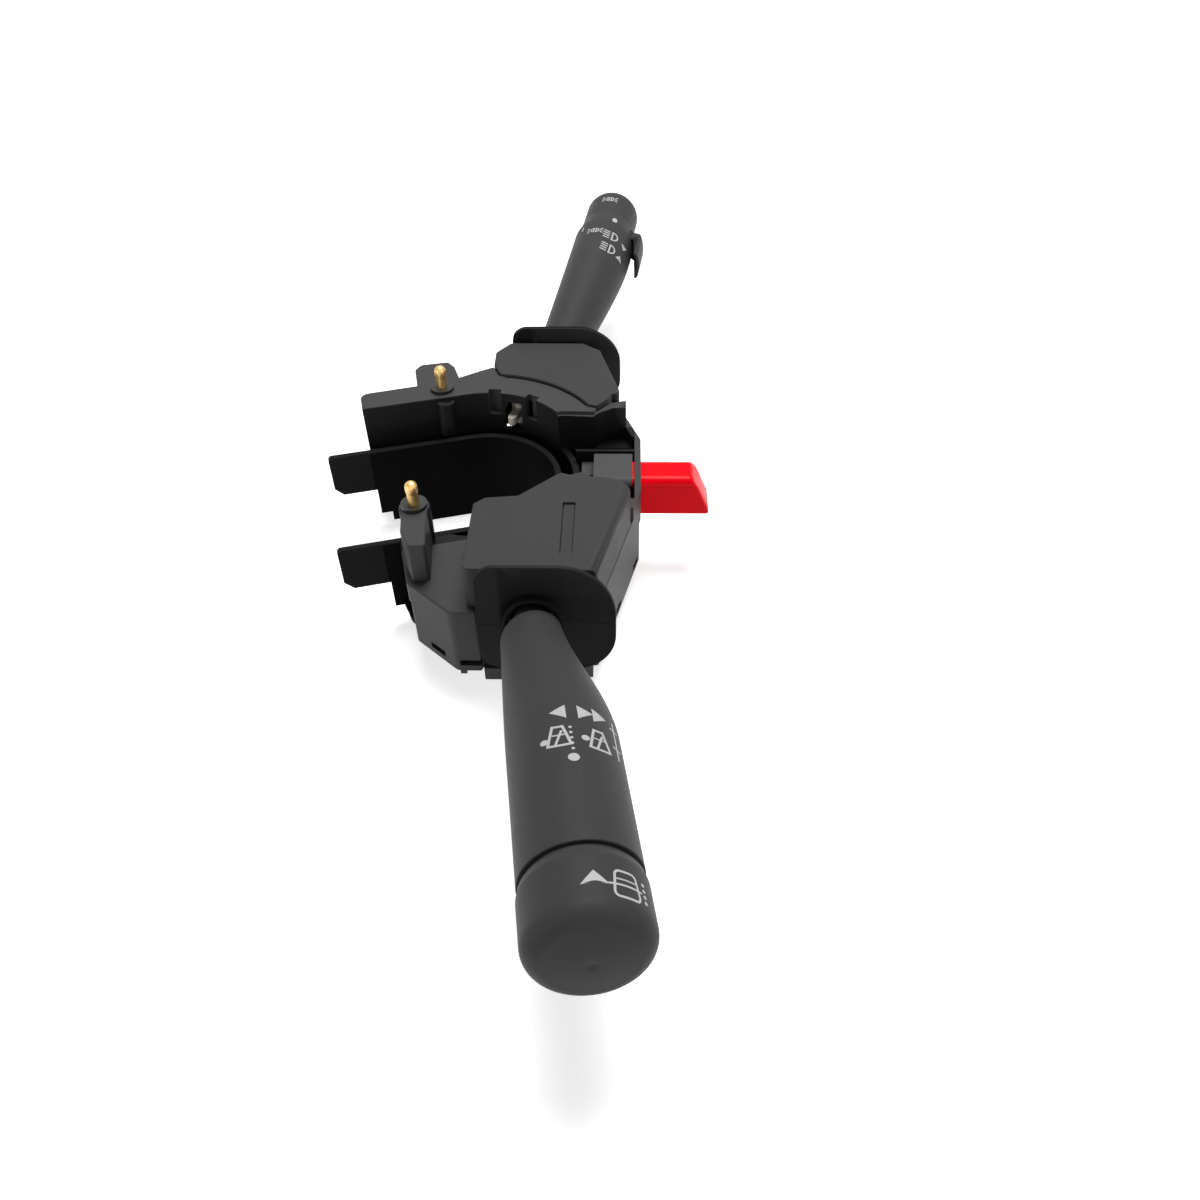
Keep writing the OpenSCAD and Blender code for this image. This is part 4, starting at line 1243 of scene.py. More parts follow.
def half_outline(outline: Outline, gap: float, s: int, count: int) -> Outline:
    """Part of an outline above or below a line, by the angle about the origin.

    Args:
        outline: Closed outline round the origin.
        gap: Height of the line.
        s: 1 for the part above and -1 for the part below.
        count: Number of points.

    Returns:
        Points from the +y side to the -y side.
    """
    points = []
    for i in range(count):
        angle = math.pi * i / (count - 1)
        ray = Vector((math.cos(angle), s * math.sin(angle)))
        best = 0.0
        for k, corner in enumerate(outline):
            p, edge = Vector(corner), Vector(outline[(k + 1) % len(outline)]) - Vector(corner)
            cross = ray.x * edge.y - ray.y * edge.x
            if abs(cross) < 1e-9:
                continue
            t, u = (p.x * edge.y - p.y * edge.x) / cross, (p.x * ray.y - p.y * ray.x) / cross
            if -1e-9 <= u <= 1 + 1e-9:
                best = max(best, t)
        hit = ray * best
        points.append((hit.x, s * max(gap, s * hit.y)))
    return points


def capped_tube(rows: Rings) -> Shell:
    """Closes rows of points into a tube and caps its two ends.

    Args:
        rows: Rows of equal length, in order round the tube.

    Returns:
        Points and faces.
    """
    count, total = len(rows[0]), len(rows)
    faces = []
    for j in range(total):
        a, b = j * count, (j + 1) % total * count
        faces += [[a + i, a + i + 1, b + i + 1, b + i] for i in range(count - 1)]
    faces += [[j * count + end for j in range(total)] for end in (0, count - 1)]
    return [p for row in rows for p in row], faces


@dataclass
class Shield:
    """Dished shield with its collar, split at mid height."""

    side: Side
    right: float = 24.8
    left: float = 16.7
    up: float = 20.6
    down: float = 16.8
    dish: float = 3.0
    wall: float = 1.4
    collar_r: float = 8.4
    collar_wall: float = 0.9
    collar_front: float = 0.6
    collar_back: float = -4.6
    split: float = 0.1
    crease: float = -9.4
    crease_slope: float = 0.55
    lip_r: float = 7.1
    bead: float = 0.35
    columns: int = 97
    steps: int = 14

    def at(self, row: list[Vector], x: float, share: float = 1.0) -> list[Vector]:
        """A row at another x and drawn in by a share, but not across the parting line."""
        return [Vector((x, p.y * share, p.z if abs(p.z) < self.split else p.z * share)) for p in row]

    def half(self, s: int) -> Shell:
        """Plate and collar above (1) or below (-1) the parting line.

        Args:
            s: The side of the parting line.

        Returns:
            Points and faces in the shield's frame.
        """
        corners = [(self.right, -self.down, 13), (self.right, self.up, 17)]
        corners += [(-self.left, self.up, 6), (-self.left, -self.down, 9)]
        rim = half_outline(rounded_outline(corners, 14), self.split / 2, s, self.columns)
        collar = self.collar_r + self.collar_wall
        start = math.asin(self.split / 2 / collar)
        angles = [start + (math.pi - 2 * start) * i / (self.columns - 1) for i in range(self.columns)]
        root = [(collar * math.cos(t), s * collar * math.sin(t)) for t in angles]
        front, back = [], []
        for k in range(self.steps + 1):
            t = k / self.steps
            row = [(b[0] + (o[0] - b[0]) * t, b[1] + (o[1] - b[1]) * t) for o, b in zip(rim, root)]
            depths = [min(self.dish * (1 - t * t), max(0.0, (y - self.crease) * self.crease_slope)) for y, _ in row]
            front.append([Vector((-d, y, z)) for d, (y, z) in zip(depths, row)])
            back.append([Vector((-d - self.wall, y, z)) for d, (y, z) in zip(depths, row)])
        shares = [1 - self.bead / math.hypot(y, z) for y, z in rim]
        bead = [Vector((0.12, y * share, z * share)) for (y, z), share in zip(rim, shares)]
        inner = self.at(front[0], self.collar_front, self.collar_r / collar)
        lips = [self.at(inner, x, r / self.collar_r) for x, r in
                ((-1.2, self.collar_r), (-1.5, self.lip_r), (-2.3, self.lip_r), (-2.6, self.collar_r))]
        outer = [self.at(front[0], x) for x in (self.collar_back, self.collar_front)]
        last = self.at(inner, self.collar_back)
        return capped_tube([outer[0], *back, bead, *front[::-1], outer[1], inner, *lips, last])

    def build(self, shop: Workshop) -> None:
        """Builds both halves in place of their CAD nodes.

        Args:
            shop: The workshop.
        """
        for part, s in (("upper", 1), ("lower", -1)):
            node = f"{self.side.name}_shield_{part}"
            mesh = mesh_of(self.half(s), self.side.on_shield)
            shop.piece(node + "_skin", mesh, Finish.SHIELD, self.side.name + "_carrier", (node,))


# Hazard lever and contact pins.


@dataclass
class HazardLever:
    """Red lever with rounded long edges and a slanted end."""

    width: float = 13.0
    low: float = 23.6
    height: float = 14.7
    back: float = 46.9
    face_y: float = 54.8
    top: float = 17.2
    bottom: float = 23.8
    stem_r: float = 4.0
    stem_back: float = 43.76
    edge: float = 0.9
    shoulder: float = 3.2
    stem_sides: int = 40

    def section(self, inset: float) -> Outline:
        """Section as (x, z), drawn in by inset.

        Args:
            inset: How far.

        Returns:
            The outline.
        """
        x, z0, z1 = self.width / 2 - inset, self.low + inset, self.low + self.height - inset
        r, q = self.shoulder - inset * 0.6, self.edge
        return rounded_outline([(-x, z0, q), (x, z0, q), (x, z1, r), (-x, z1, r)], 8)

    def end_y(self, z: float) -> float:
        """Place of the slanted end at height z."""
        share = max(0.0, (z - self.low) / self.height)
        return self.face_y + self.bottom + (self.top - self.bottom) * share**1.7

    def build(self, shop: Workshop) -> bpy.types.Object:
        """Builds the lever in place of its CAD node.

        Args:
            shop: The workshop.

        Returns:
            The piece.
        """
        rings: Rings = []
        for inset, y in ((0.4, self.back), (0.0, self.back + 0.4), (0.0, self.face_y)):
            rings.append([Vector((x, y, z)) for x, z in self.section(inset)])
        for inset, pull in ((0.0, 0.9), (0.07, 0.5), (0.27, 0.22), (0.55, 0.06), (0.9, 0.0), (2.5, -0.05)):
            rings.append([Vector((x, self.end_y(z) - pull, z)) for x, z in self.section(inset)])
        middle = self.low + self.height / 2
        stem = [hoop_along_y(0, y, middle, self.stem_r, self.stem_sides) for y in (self.stem_back, self.back + 0.6)]
        mesh = mesh_of(join(loft(rings), loft(stem)))
        return shop.piece("hazard_lever_skin", mesh, Finish.RED, "hazard_lever", ("hazard_lever",))


@dataclass
class ContactPin:
    """Turned contact pin with a domed head."""

    side: Side
    x: float = 34.0
    y: float = -17.0
    r: float = 1.8
    head_r: float = 2.05
    top: float = 58.4
    foot: float = 44.6
    flange_r: float = 2.8
    flange_top: float = 45.9
    edge: float = 0.2
    sides: int = 56

    def profile(self) -> Outline:
        """Profile along Z.

        Returns:
            Points (height, radius).
        """
        centre, edge = self.top - self.head_r, self.edge
        points = [(self.foot, 0.0), (self.foot, self.flange_r - edge), (self.foot + edge, self.flange_r)]
        points += [(self.flange_top - edge, self.flange_r), (self.flange_top, self.flange_r - edge)]
        points += [(self.flange_top, self.r), (centre - 2.4, self.r), (centre - 2.1, self.r + 0.02)]
        points += [(centre - 1.2, self.head_r), *bend(centre, 0, self.head_r, 9, range(10))]
        return [*points, (self.top, 0.0)]

    def build(self, shop: Workshop) -> bpy.types.Object:
        """Builds the pin in place of its CAD node.

        Args:
            shop: The workshop.

        Returns:
            The piece.
        """
        place = Matrix.Translation((self.side.sign * self.x, self.y, 0)) @ turn(-90, "Y")
        node = self.side.name + "_contact_pin"
        mesh = mesh_of(turned(self.profile(), self.sides), place)
        return shop.piece(node + "_turned", mesh, Finish.BRASS, node, (node,))


# Springs and screws, which graphs repeat.


class Graph:
    """A Geometry Nodes tree with named number inputs."""

    def __init__(self, name: str, inputs: dict[str, float]) -> None:
        """Makes the tree.

        Args:
            name: The tree's name.
            inputs: Names and first values of its number inputs.
        """
        self.tree = bpy.data.node_groups.new(name, "GeometryNodeTree")
        self.ids: dict[str, str] = {}
        self.tree.interface.new_socket("Geometry", in_out="INPUT", socket_type="NodeSocketGeometry")
        for key, value in inputs.items():
            socket = self.tree.interface.new_socket(key, in_out="INPUT", socket_type="NodeSocketFloat")
            socket.default_value = value
            self.ids[key] = socket.identifier
        self.tree.interface.new_socket("Geometry", in_out="OUTPUT", socket_type="NodeSocketGeometry")
        self.start = self.tree.nodes.new("NodeGroupInput").outputs
        self.end = self.tree.nodes.new("NodeGroupOutput")

    def add(self, kind: str, settings: dict[str, Any], **inputs: Any) -> bpy.types.NodeSocket:
        """First output of a new node, whose inputs are named with _ for a blank."""
        return add_node(self.tree, kind, settings, {key.replace("_", " "): v for key, v in inputs.items()}).outputs[0]

    def close(self, geometry: bpy.types.NodeSocket, material: bpy.types.Material) -> None:
        """Ends the tree in Realize Instances and Set Material."""
        real = self.add("GeometryNodeRealizeInstances", {}, Geometry=geometry)
        feed(self.tree, self.end.inputs[0], self.add("GeometryNodeSetMaterial", {}, Geometry=real, Material=material))

    def run(self, source: bpy.types.Mesh, values: dict[str, float]) -> bpy.types.Mesh:
        """The plain mesh that the tree makes of a source mesh.

        Args:
            source: The mesh that goes in.
            values: Values of the named inputs.

        Returns:
            The mesh.
        """
        shape = placed("source", source)
        modifier = shape.modifiers.new("graph", "NODES")
        modifier.node_group = self.tree
        for key, value in values.items():
            modifier[self.ids[key]] = value
        return evaluated(shape)


@dataclass(frozen=True)
class Coil:
    """One coil spring: along local Z from 0 to its length."""

    node: str
    place: Matrix
    r: float
    wire_r: float
    turns: float
    length: float


class Springs:
    """All coil springs, made by one graph."""

    TURN_STEPS: int = 28
    WIRE_SIDES: int = 10

    def __init__(self, shop: Workshop) -> None:
        """Builds the graph: a spiral swept by the wire's section.

        Args:
            shop: The workshop.
        """
        self.shop = shop
        self.graph = Graph("coil_spring", {"Radius": 0.002, "Wire": 0.0003, "Turns": 5.0, "Height": 0.01})
        start = self.graph.start
        sizes = {"Start_Radius": start["Radius"], "End_Radius": start["Radius"], "Height": start["Height"]}
        sizes |= {"Resolution": self.TURN_STEPS, "Rotations": start["Turns"]}
        spiral = self.graph.add("GeometryNodeCurveSpiral", {}, **sizes)
        ring = self.graph.add("GeometryNodeCurvePrimitiveCircle", {}, Resolution=self.WIRE_SIDES, Radius=start["Wire"])
        sweep = self.graph.add("GeometryNodeCurveToMesh", {}, Curve=spiral, Profile_Curve=ring, Fill_Caps=True)
        self.graph.close(sweep, shop.material(Finish.SPRING))

    def build(self, coil: Coil) -> bpy.types.Object:
        """Builds one spring in place of its CAD node.

        Args:
            coil: The spring.

        Returns:
            The piece.
        """
        height = coil.length - 2 * coil.wire_r
        values = {"Radius": coil.r * MM, "Wire": coil.wire_r * MM, "Turns": coil.turns, "Height": height * MM}
        mesh = self.graph.run(bpy.data.meshes.new("empty"), values)
        place = coil.place.copy()
        place.translation *= MM
        mesh.transform(place @ Matrix.Translation((0, 0, coil.wire_r * MM)))
        if coil.place.determinant() < 0:
            mesh.flip_normals()
        body = self.shop.carrier[coil.node]
        return self.shop.piece(coil.node + "_coil", mesh, Finish.SPRING, body, (coil.node,), SHARP_THIN)


def coils() -> list[Coil]:
    """The object's springs.

    Returns:
        The pins' and the plungers' springs, then those of the end cap and the lever.
    """
    springs = []
    for side in (WIPER, INDICATOR):
        seat = Matrix.Translation((side.trunnion[0] - 1, side.trunnion[1], side.hinge_z)) @ turn(-90, "Y")
        pin = Matrix.Translation((ContactPin.x, ContactPin.y, 36.6))
        springs += [
            Coil(side.name + "_detent_spring", side.mirror @ seat, 1.4, 0.25, 4, 3.6),
            Coil(side.name + "_pin_spring", side.mirror @ pin, 2.3, 0.3, 6, 8.0),
        ]
    cap_seat = WIPER.on_neck @ Matrix.Translation((80.5, Stalk.shift, 0)) @ turn(90, "Y")
    lever_seat = Matrix.Translation((0, 35.6, 30.95)) @ turn(-90, "X")
    return springs + [
        Coil("end_cap_spring", cap_seat, 3.6, 0.4, 5, 9.0),
        Coil("hazard_spring", lever_seat, 3.0, 0.4, 4, 8.16),
    ]


@dataclass
class SaddleScrews:
    """Cross-head screws under the saddle, set out by a graph."""

    reach: float = 35.2
    aims: tuple[tuple[float, float], ...] = ((33.5, 8.0), (20.0, 27.0), (-14.0, 31.5), (-35.0, 1.0))
    head_r: float = 3.0
    head_low: float = 4.5
    head_high: float = 6.3
    shank_r: float = 1.45
    thread: float = 0.35
    pitch: float = 1.1
    tip: float = 16.0
    sides: int = 28

    def screw(self) -> bpy.types.Mesh:
        """One screw on the local Z axis.

        Returns:
            The mesh.
        """
        low, head, shank, core = self.head_low, self.head_r, self.shank_r, self.shank_r - self.thread
        profile = [(low + 0.5, 0.0), (low + 0.5, 0.6), (low, 0.9), (low, head - 0.9), (low + 0.3, head - 0.3)]
        profile += [(low + 0.8, head), (self.head_high, head), (self.head_high, shank)]
        x = self.head_high + 0.5
        while x < self.tip - 1.5:
            profile += [(x, core), (x + self.pitch * 0.5, shank), (x + self.pitch * 0.62, shank)]
            profile += [(x + self.pitch, core)]
            x += self.pitch
        profile += [(self.tip - 0.6, core), (self.tip, 0.0)]
        bar = block((low - 0.06, -1.5, -0.28), (low + 0.1, 1.5, 0.28), 0.1)
        cross = [moved(bar, turn(angle, "X")) for angle in (45, 135)]
        return mesh_of(join(turned(profile, self.sides), *cross), turn(-90, "Y"))

    def build(self, shop: Workshop) -> bpy.types.Object:
        """Sets a screw on each point and replaces the CAD node.

        Args:
            shop: The workshop.

        Returns:
            The piece.
        """
        sample = placed("screw_sample", self.screw())
        graph = Graph("screw_set", {"Scale": 1.0})
        held = add_node(graph.tree, "GeometryNodeObjectInfo", {"transform_space": "ORIGINAL"}, {"Object": sample})
        start = graph.start
        put = graph.add("GeometryNodeInstanceOnPoints", {}, Points=start["Geometry"], Instance=held.outputs["Geometry"],
                        Scale=start["Scale"])
        graph.close(put, shop.material(Finish.STEEL))
        points = [Vector(a).normalized() * self.reach * MM for a in self.aims]
        source = bpy.data.meshes.new("points")
        source.from_pydata([(p.x, p.y, 0.0) for p in points], [], [])
        mesh = graph.run(source, {"Scale": 1.0})
        bpy.data.objects.remove(sample)
        return shop.piece("saddle_screws_set", mesh, Finish.STEEL, "housing", ("saddle_screws",))


# Housing.


@dataclass
class Housing:
    """Mouldings, connectors and fixed innards."""

    raised_z: float = 49.0
    cover_z: float = 50.0
    deck_z: float = 34.5
    edge: float = 0.5
    deck_edge: float = 0.8
    tower_r: float = 5.0
    wall_r: float = 31.5
    lip_r: float = 42.5
    saddle_r: float = 25.0
    saddle_outer_r: float = 27.3
    prong_reach: float = 52.0

    def tower_path(self) -> Outline:
        """Edge of the contact tower."""
        x, y, r = ContactPin.x, ContactPin.y, self.tower_r
        corners = [(37.25, -20.81, 0), (46, -19.7, 1), (53.6, -16.4, 1), (53.2, -10.9, 1), (37, -12.6, 0)]
        return arc(x, y, r, -117, -50, 8)[:-1] + rounded_outline(corners, 5) + arc(x, y, r, 60.6, 147, 10)

    def deck_path(self) -> Outline:
        """Edge of the raised deck, from the indicator cover round the tab to the arc wall.

        Returns:
            The path.
        """
        corners = [(-46, 6.8, 1), (-43.7, -0.6, 0), (-51.5, -1.2, 1.5), (-55.5, -3, 1.5), (-56.1, -13.2, 2)]
        corners += [(-53.1, -15.8, 2), (-41.9, -16.3, 0), (-41.5, -37, 3)]
        corners += [(-self.wall_r, -37, 0.6), (-self.wall_r, 0, 0)]
        world = [(*slot_point(n, u), r) for n, u, r in corners]
        path = rounded_outline([(-43.0, 2.9, 0), (-49.4, 0.15, 0.5), *world], 5)
        return path + arc(0, 0, self.wall_r, 194, 127, 30)[1:]

    def cover_path(self) -> Outline:
        """Edge of the indicator cover.

        Returns:
            The path.
        """
        corners = [(-28.3, 48.1, 2), (-59.5, 39.6, 2), (-64.7, 33, 2), (-65, 5.4, 2), (-58.1, 0.3, 2)]
        corners += [(-49.4, 0.4, 0.8), (-43.1, 3.2, 0), (-42.4, 4.6, 0)]
        outline = rounded_outline(corners, 5)[:-1]
        return outline + arc(0, 0, 42.7, 174, 122, 14) + [(-21.9, 39.4), (-27, 43.9)]

    def wiper_cover_path(self) -> Outline:
        """Edge of the wiper cover.

        Returns:
            The path.
        """
        return rounded_outline([(33.9, 1.7, 0), (65, 1.5, 2), (65, 41.5, 1), (25.4, 51.5, 2.5), (22.3, 48.5, 0.6),
                                (20.2, 45.3, 0.6), (19.6, 41.4, 0.6), (19.6, 38.8, 0.6), (17, 35.5, 0.6),
                                (18.6, 31.6, 0.6), (17.5, 28.6, 0.6), (19.7, 26, 1), (27, 18.3, 1.5),
                                (29.7, 15.6, 2), (30.8, 5.2, 1)], 5)

    def lower_deck_path(self) -> Outline:
        """Edge of the lower deck, from the saddle to the step below the wiper cover."""
        ends = [(*slot_point(n, -31.8), r) for n, r in ((20, 0), (47.5, 3))]
        return rounded_outline([*ends, (67.5, -3.5, 4), (67.5, 4.4, 0.6), (64, 5.8, 0)], 6)

    def saddle_path(self, r: float, s: int) -> Outline:
        """Edge of the saddle at a radius, from the -s prong round the bore to the s prong."""
        start, end = (180, 0) if s > 0 else (0, 180)
        bore = arc(0, 0, r, start, end, 36)
        return [slot_point(x, y) for x, y in [(-s * r, -self.prong_reach), *bore, (s * r, -self.prong_reach)]]

    def plate_groove(self) -> list[bpy.types.Mesh]:
        """Narrow groove round the floor of the wiper cover's recess.

        Returns:
            Four meshes to subtract.
        """
        x0, x1, y0, y1, w = 33.3, 57.6, 30.0, 34.0, 0.35
        sides = ((x0, x1, y0, y0 + w), (x0, x1, y1 - w, y1), (x0, x0 + w, y0, y1), (x1 - w, x1, y0, y1))
        return [prism([(a, c), (b, c), (b, d), (a, d)], 48.5, 49.6) for a, b, c, d in sides]

    def strip_filler(self) -> bpy.types.Mesh:
        """Closes the joint line between the raised strip and the band round the arc wall."""
        wall = arc(0, 0, 31.53, 182.5, 190.5, 4)
        return prism([*reversed(wall), (-45.5, -4.5), (-45.5, -5.7)], 26.6, 49.02)

    def pin_boss(self) -> bpy.types.Mesh:
        """Half-round boss down the strip's inner wall below the indicator side's contact pin."""
        half_round = rounded_outline([(-1.5, -3.1, 0), (2.6, -3.1, 2.4), (2.6, 3.1, 2.4), (-1.5, 3.1, 0)], 8)
        return prism([slot_point(x - 31.0, y - 7.4) for x, y in half_round], 34.6, 47.4)

    def build(self, shop: Workshop) -> None:
        """Rounds the mouldings' edges and dresses the rest.

        Args:
            shop: The workshop.
        """
        upper = [edge_cutter(self.tower_path(), self.raised_z, self.deck_edge),
                 edge_cutter(self.deck_path(), self.raised_z, self.edge),
                 edge_cutter(self.lower_deck_path(), self.deck_z, self.deck_edge),
                 edge_cutter(arc(0, 0, self.lip_r, 123, 173, 30), self.raised_z, 0.7)]
        cover = [edge_cutter(self.cover_path(), self.cover_z, self.edge, True)]
        wiper_cover = [edge_cutter(self.wiper_cover_path(), self.cover_z, self.edge, True), *self.plate_groove()]
        paths = (self.saddle_path(self.saddle_r, 1), self.saddle_path(self.saddle_outer_r, -1))
        for node, finish, cutters, fillers in (
            ("upper_housing", Finish.HOUSING, upper, [self.strip_filler(), self.pin_boss()]),
            ("lower_housing", Finish.HOUSING, [], []),
            ("wiper_switch_cover", Finish.COVER, wiper_cover, []),
            ("indicator_switch_cover", Finish.COVER, cover, []),
            ("column_saddle", Finish.SADDLE, [edge_cutter(path, self.deck_z, 0.4) for path in paths], []),
            ("hazard_housing", Finish.SWITCH_GREY, [], []),
            ("wiper_connector", Finish.CONNECTOR, [], []),
            ("indicator_connector", Finish.CONNECTOR, [], []),
        ):
            shop.softened(node, finish, cutters, fillers)
        for side in (WIPER, INDICATOR):
            innards = (("detent_gate", Finish.NATURAL), ("contact_board", Finish.BOARD), ("terminals", Finish.TIN))
            for part, finish in innards:
                shop.dress(f"{side.name}_{part}", finish)
        shop.dress("hazard_contact", Finish.BRASS)
        shop.dress("contact_bushes", Finish.BUSH)
        shop.dress("cancel_pin", Finish.STEEL)
        for node in ("cancel_finger", "cancel_hub"):
            shop.dress(node, Finish.NATURAL)
        SaddleScrews().build(shop)


@dataclass
class Swing:
    """Carrier of one stalk with its pin, slider and plunger."""

    side: Side

    def build(self, shop: Workshop) -> None:
        """Dresses the carrier and builds the shield and the contact pin.

        Args:
            shop: The workshop.
        """
        shop.softened(self.side.name + "_carrier", Finish.BUSH)
        for part, finish in (("hinge_pin", Finish.STEEL), ("slider", Finish.BRASS), ("detent_plunger", Finish.STEEL)):
            shop.dress(f"{self.side.name}_{part}", finish)
        Shield(self.side).build(shop)
        ContactPin(self.side).build(shop)


# Stage.


def seen_ray(tree: bpy.types.NodeTree) -> bpy.types.NodeSocket:
    """Tells the rays that see the background from those that light the object.

    Args:
        tree: The node tree of the world or of the floor.

    Returns:
        A socket that is 1 for camera, glossy and transmission rays and 0 for the rest.
    """
    rays = tree.nodes.new("ShaderNodeLightPath").outputs
    seen = rays["Is Camera Ray"]
    for name in ("Is Glossy Ray", "Is Transmission Ray"):
        seen = add_node(tree, "ShaderNodeMath", {"operation": "MAXIMUM"}, {0: seen, 1: rays[name]}).outputs[0]
    return seen


@dataclass
class Studio:
    """Camera, lamps and floor, in metres."""

    eye: tuple[float, float, float] = (0.29413, 0.05036, 0.25473)
    pitch: float = 43.42
    yaw: float = 2.04
    roll: float = 1.10
    lens: float = 31.556
    aim: tuple[float, float, float] = (0.0, 0.02, 0.03)
    fill: float = 0.03
    floor_reach: float = 6.0
    floor_z: float = -0.0006
    fade_start: float = 0.4
    fade: float = 0.9
    shade: tuple[float, float, float] = (0.72, 0.72, 0.72)
    lamps: tuple[tuple[str, tuple[float, float, float], float, float], ...] = (
        ("overhead", (-0.3, 0.1, 1.1), 0.6, 15.5),
        ("front", (1.6, 0.35, 0.2), 0.5, 4.3),
        ("mouth_side", (0.75, -0.95, 0.15), 0.35, 2.6),
        ("hazard_side", (0.5, 0.9, 0.3), 0.5, 1.7),
    )

    def camera(self) -> None:
        """Places the camera at the photograph's view."""
        pitch, yaw, roll = (math.radians(a) for a in (self.pitch, self.yaw, self.roll))
        level = Vector((-math.cos(yaw), -math.sin(yaw), 0))
        right = level.cross(Vector((0, 0, 1)))
        ahead = level * math.cos(pitch) - Vector((0, 0, 1)) * math.sin(pitch)
        down = ahead.cross(right)
        x = right * math.cos(roll) + down * math.sin(roll)
        y = right * math.sin(roll) - down * math.cos(roll)
        data = bpy.data.cameras.new("camera")
        data.sensor_width = 36.0
        data.lens = self.lens
        data.clip_start, data.clip_end = 0.01, 20.0
        camera = placed("camera", data)
        camera.matrix_world = Matrix.Translation(self.eye) @ Matrix((x, y, -ahead)).transposed().to_4x4()
        bpy.context.scene.camera = camera

    def lamp(self, name: str, place: tuple[float, float, float], size: float, power: float) -> None:
        """Adds a soft area lamp that points at the object.

        Args:
            name: The lamp's name.
            place: Where it stands, in metres.
            size: Side of the lamp.
            power: Power in watts.
        """
        data = bpy.data.lights.new(name, "AREA")
        data.shape = "SQUARE"
        data.size = size
        data.energy = power
        lamp = placed(name, data)
        lamp.location = place
        lamp.rotation_euler = (Vector(self.aim) - Vector(place)).to_track_quat("-Z", "Y").to_euler()

    def world(self) -> None:
        """Even surroundings, white where the camera or a reflection looks."""
        world = bpy.data.worlds.new("surroundings")
        bpy.context.scene.world = world
        world.use_nodes = True
        tree = world.node_tree
        back = tree.nodes["Background"].inputs
        back["Color"].default_value = (1, 1, 1, 1)
        strength = add_node(tree, "ShaderNodeMix", {}, {0: seen_ray(tree), 2: self.fill, 3: 1.0})
        feed(tree, back["Strength"], strength.outputs[0])

    def floor(self) -> None:
        """Plain pale floor, which stays white away from the object's shadow."""
        mesh = bpy.data.meshes.new("floor")
        reach = self.floor_reach
        corners = [(x * reach, y * reach, self.floor_z) for x, y in ((-1, -1), (1, -1), (1, 1), (-1, 1))]
        mesh.from_pydata(corners, [], [(0, 1, 2, 3)])
        shader = Shader("floor_pale")
        shader.finish(Base_Color=(0.8, 0.8, 0.8, 1), Roughness=0.9, Specular_IOR_Level=0.1)
        away = shader.add("ShaderNodeVectorMath", {"operation": "LENGTH"}, {0: shader.place}, "Value")
        colour = shader.mix(shader.clamp((away - self.fade_start) * self.fade), self.shade, (1.0, 1.0, 1.0))
        tree = shader.tree
        glow = add_node(tree, "ShaderNodeEmission", {}, {"Color": colour, "Strength": seen_ray(tree)})
        both = add_node(tree, "ShaderNodeAddShader", {}, {0: shader.surface.outputs[0], 1: glow.outputs[0]})
        feed(tree, shader.output.inputs["Surface"], both.outputs[0])
        mesh.materials.append(shader.material)
        floor = placed("floor", mesh)

    def build(self) -> None:
        """Sets the whole stage."""
        bpy.context.scene.view_settings.view_transform = "Standard"
        self.camera()
        self.world()
        self.floor()
        for lamp in self.lamps:
            self.lamp(*lamp)
        LOG.info("stage set")


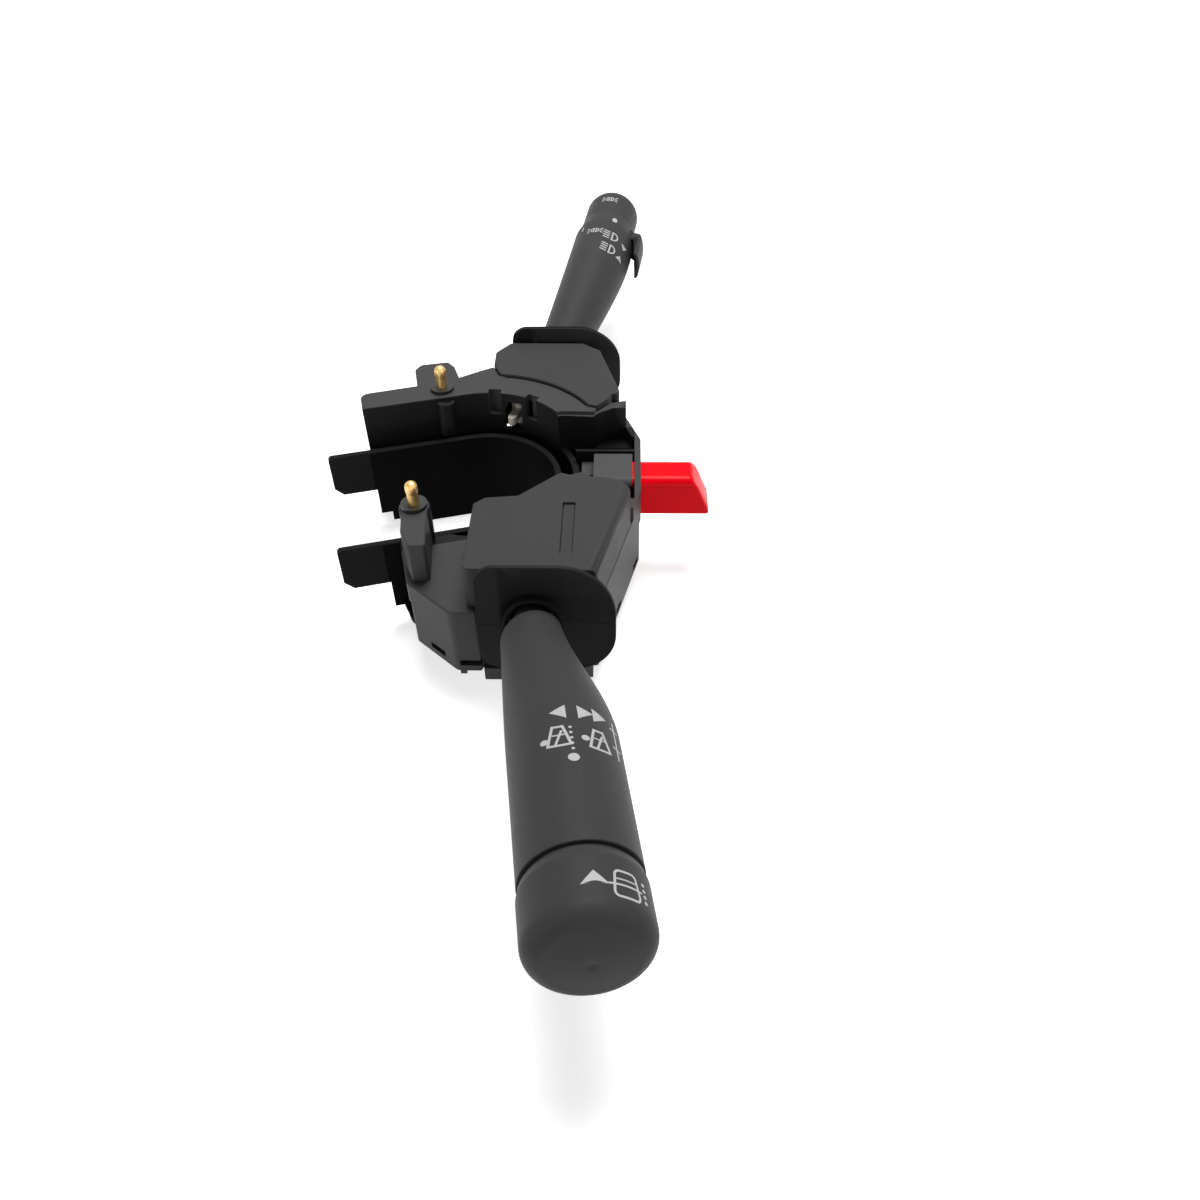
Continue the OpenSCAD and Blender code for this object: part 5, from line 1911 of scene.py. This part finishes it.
def print_marks(stalk: Stalk, cap: EndCap, lights: Stalk, knob: LightKnob, shop: Workshop) -> None:
    """Prints the pictograms on both stalks.

    Args:
        stalk: The wiper stalk.
        cap: Its end cap.
        lights: The indicator stalk.
        knob: Its light knob.
        shop: The workshop.
    """
    dots = [disc(0, -3.9 + 1.95 * k, 0.42) for k in range(5)]
    gauge = [stroke([(0, -7), (0, 7)]), stroke([(-1.6, -4), (1.6, -4)]), stroke([(-1.6, 3), (1.6, 3)])]
    bead = Mark(tuple((1.1 * math.cos(t), 1.9 * math.sin(t)) for t in circle_angles(20)))
    for name, part, side, body, radius, entries in (
        ("wiper_marks", stalk, WIPER, "wiper_stalk", 14.0, [
            (55.0, 92.5, arrow(4.4, 2)), (55.1, 66.5, arrow(4.4, 0)), (55.1, 50.5, arrow(4.4, 0)),
            (64.6, 95.5, screen_icon()), (65.5, 109.6, [disc(0, 0, 1.0)]), (65.2, 83.2, dots),
            (72.1, 83.7, [disc(0, 0, 1.35)]), (65.1, 54.8, screen_icon()), (65.0, 69.6, [disc(0, 0, 1.0)]),
            (61.0, 30.3, gauge),
        ]),
        ("cap_marks", cap, WIPER, "end_cap", 15.1, [
            (108.0, 82.0, [Mark(((0, -1.9), (3.1, 1.55), (-3.1, 1.55)))]), (109.0, 54.0, rear_icon()),
        ]),
        ("sleeve_marks", lights, INDICATOR, "indicator_stalk", 13.2, [
            (79.6, 99.0, side_lamp_icon()), (77.6, 63.5, lamp_icon()), (68.8, 61.0, lamp_icon()),
            (76.0, 33.0, arrow(3.4, 3)), (67.8, 35.5, arrow(3.4, 1)),
            (83.4, 128.0, [stroke([(0, -1.5), (0, 1.5)], 0.6)]),
        ]),
        ("knob_marks", knob, INDICATOR, "light_knob", 11.7, [(107.4, 90.0, side_lamp_icon()), (90.6, 67.0, [bead])]),
    ):
        Print(name, side, body, part.surface, radius, entries).build(shop)


def main() -> None:
    """Builds the object, piece by piece."""
    logging.basicConfig(level=logging.INFO, format="%(name)s: %(message)s", stream=sys.stdout)
    shop = Workshop()
    Studio().build()
    Housing().build(shop)
    for side in (WIPER, INDICATOR):
        Swing(side).build(shop)
    wiper = Stalk(WIPER, barrel_r=14.8, wide=55.0, thick=73.0, length=97.5, nose_r=13.6, nose_length=4.0)
    lights = Stalk(INDICATOR, barrel_r=13.2, wide=81.0, thick=81.0, length=88.0, nose_r=6.0, nose_length=0.02)
    cap, knob = EndCap(wiper), LightKnob(lights)
    for part in (wiper, lights, cap, knob):
        part.build(shop)
    print_marks(wiper, cap, lights, knob, shop)
    HazardLever().build(shop)
    springs = Springs(shop)
    for coil in coils():
        springs.build(coil)


if __name__ == "__main__":
    main()
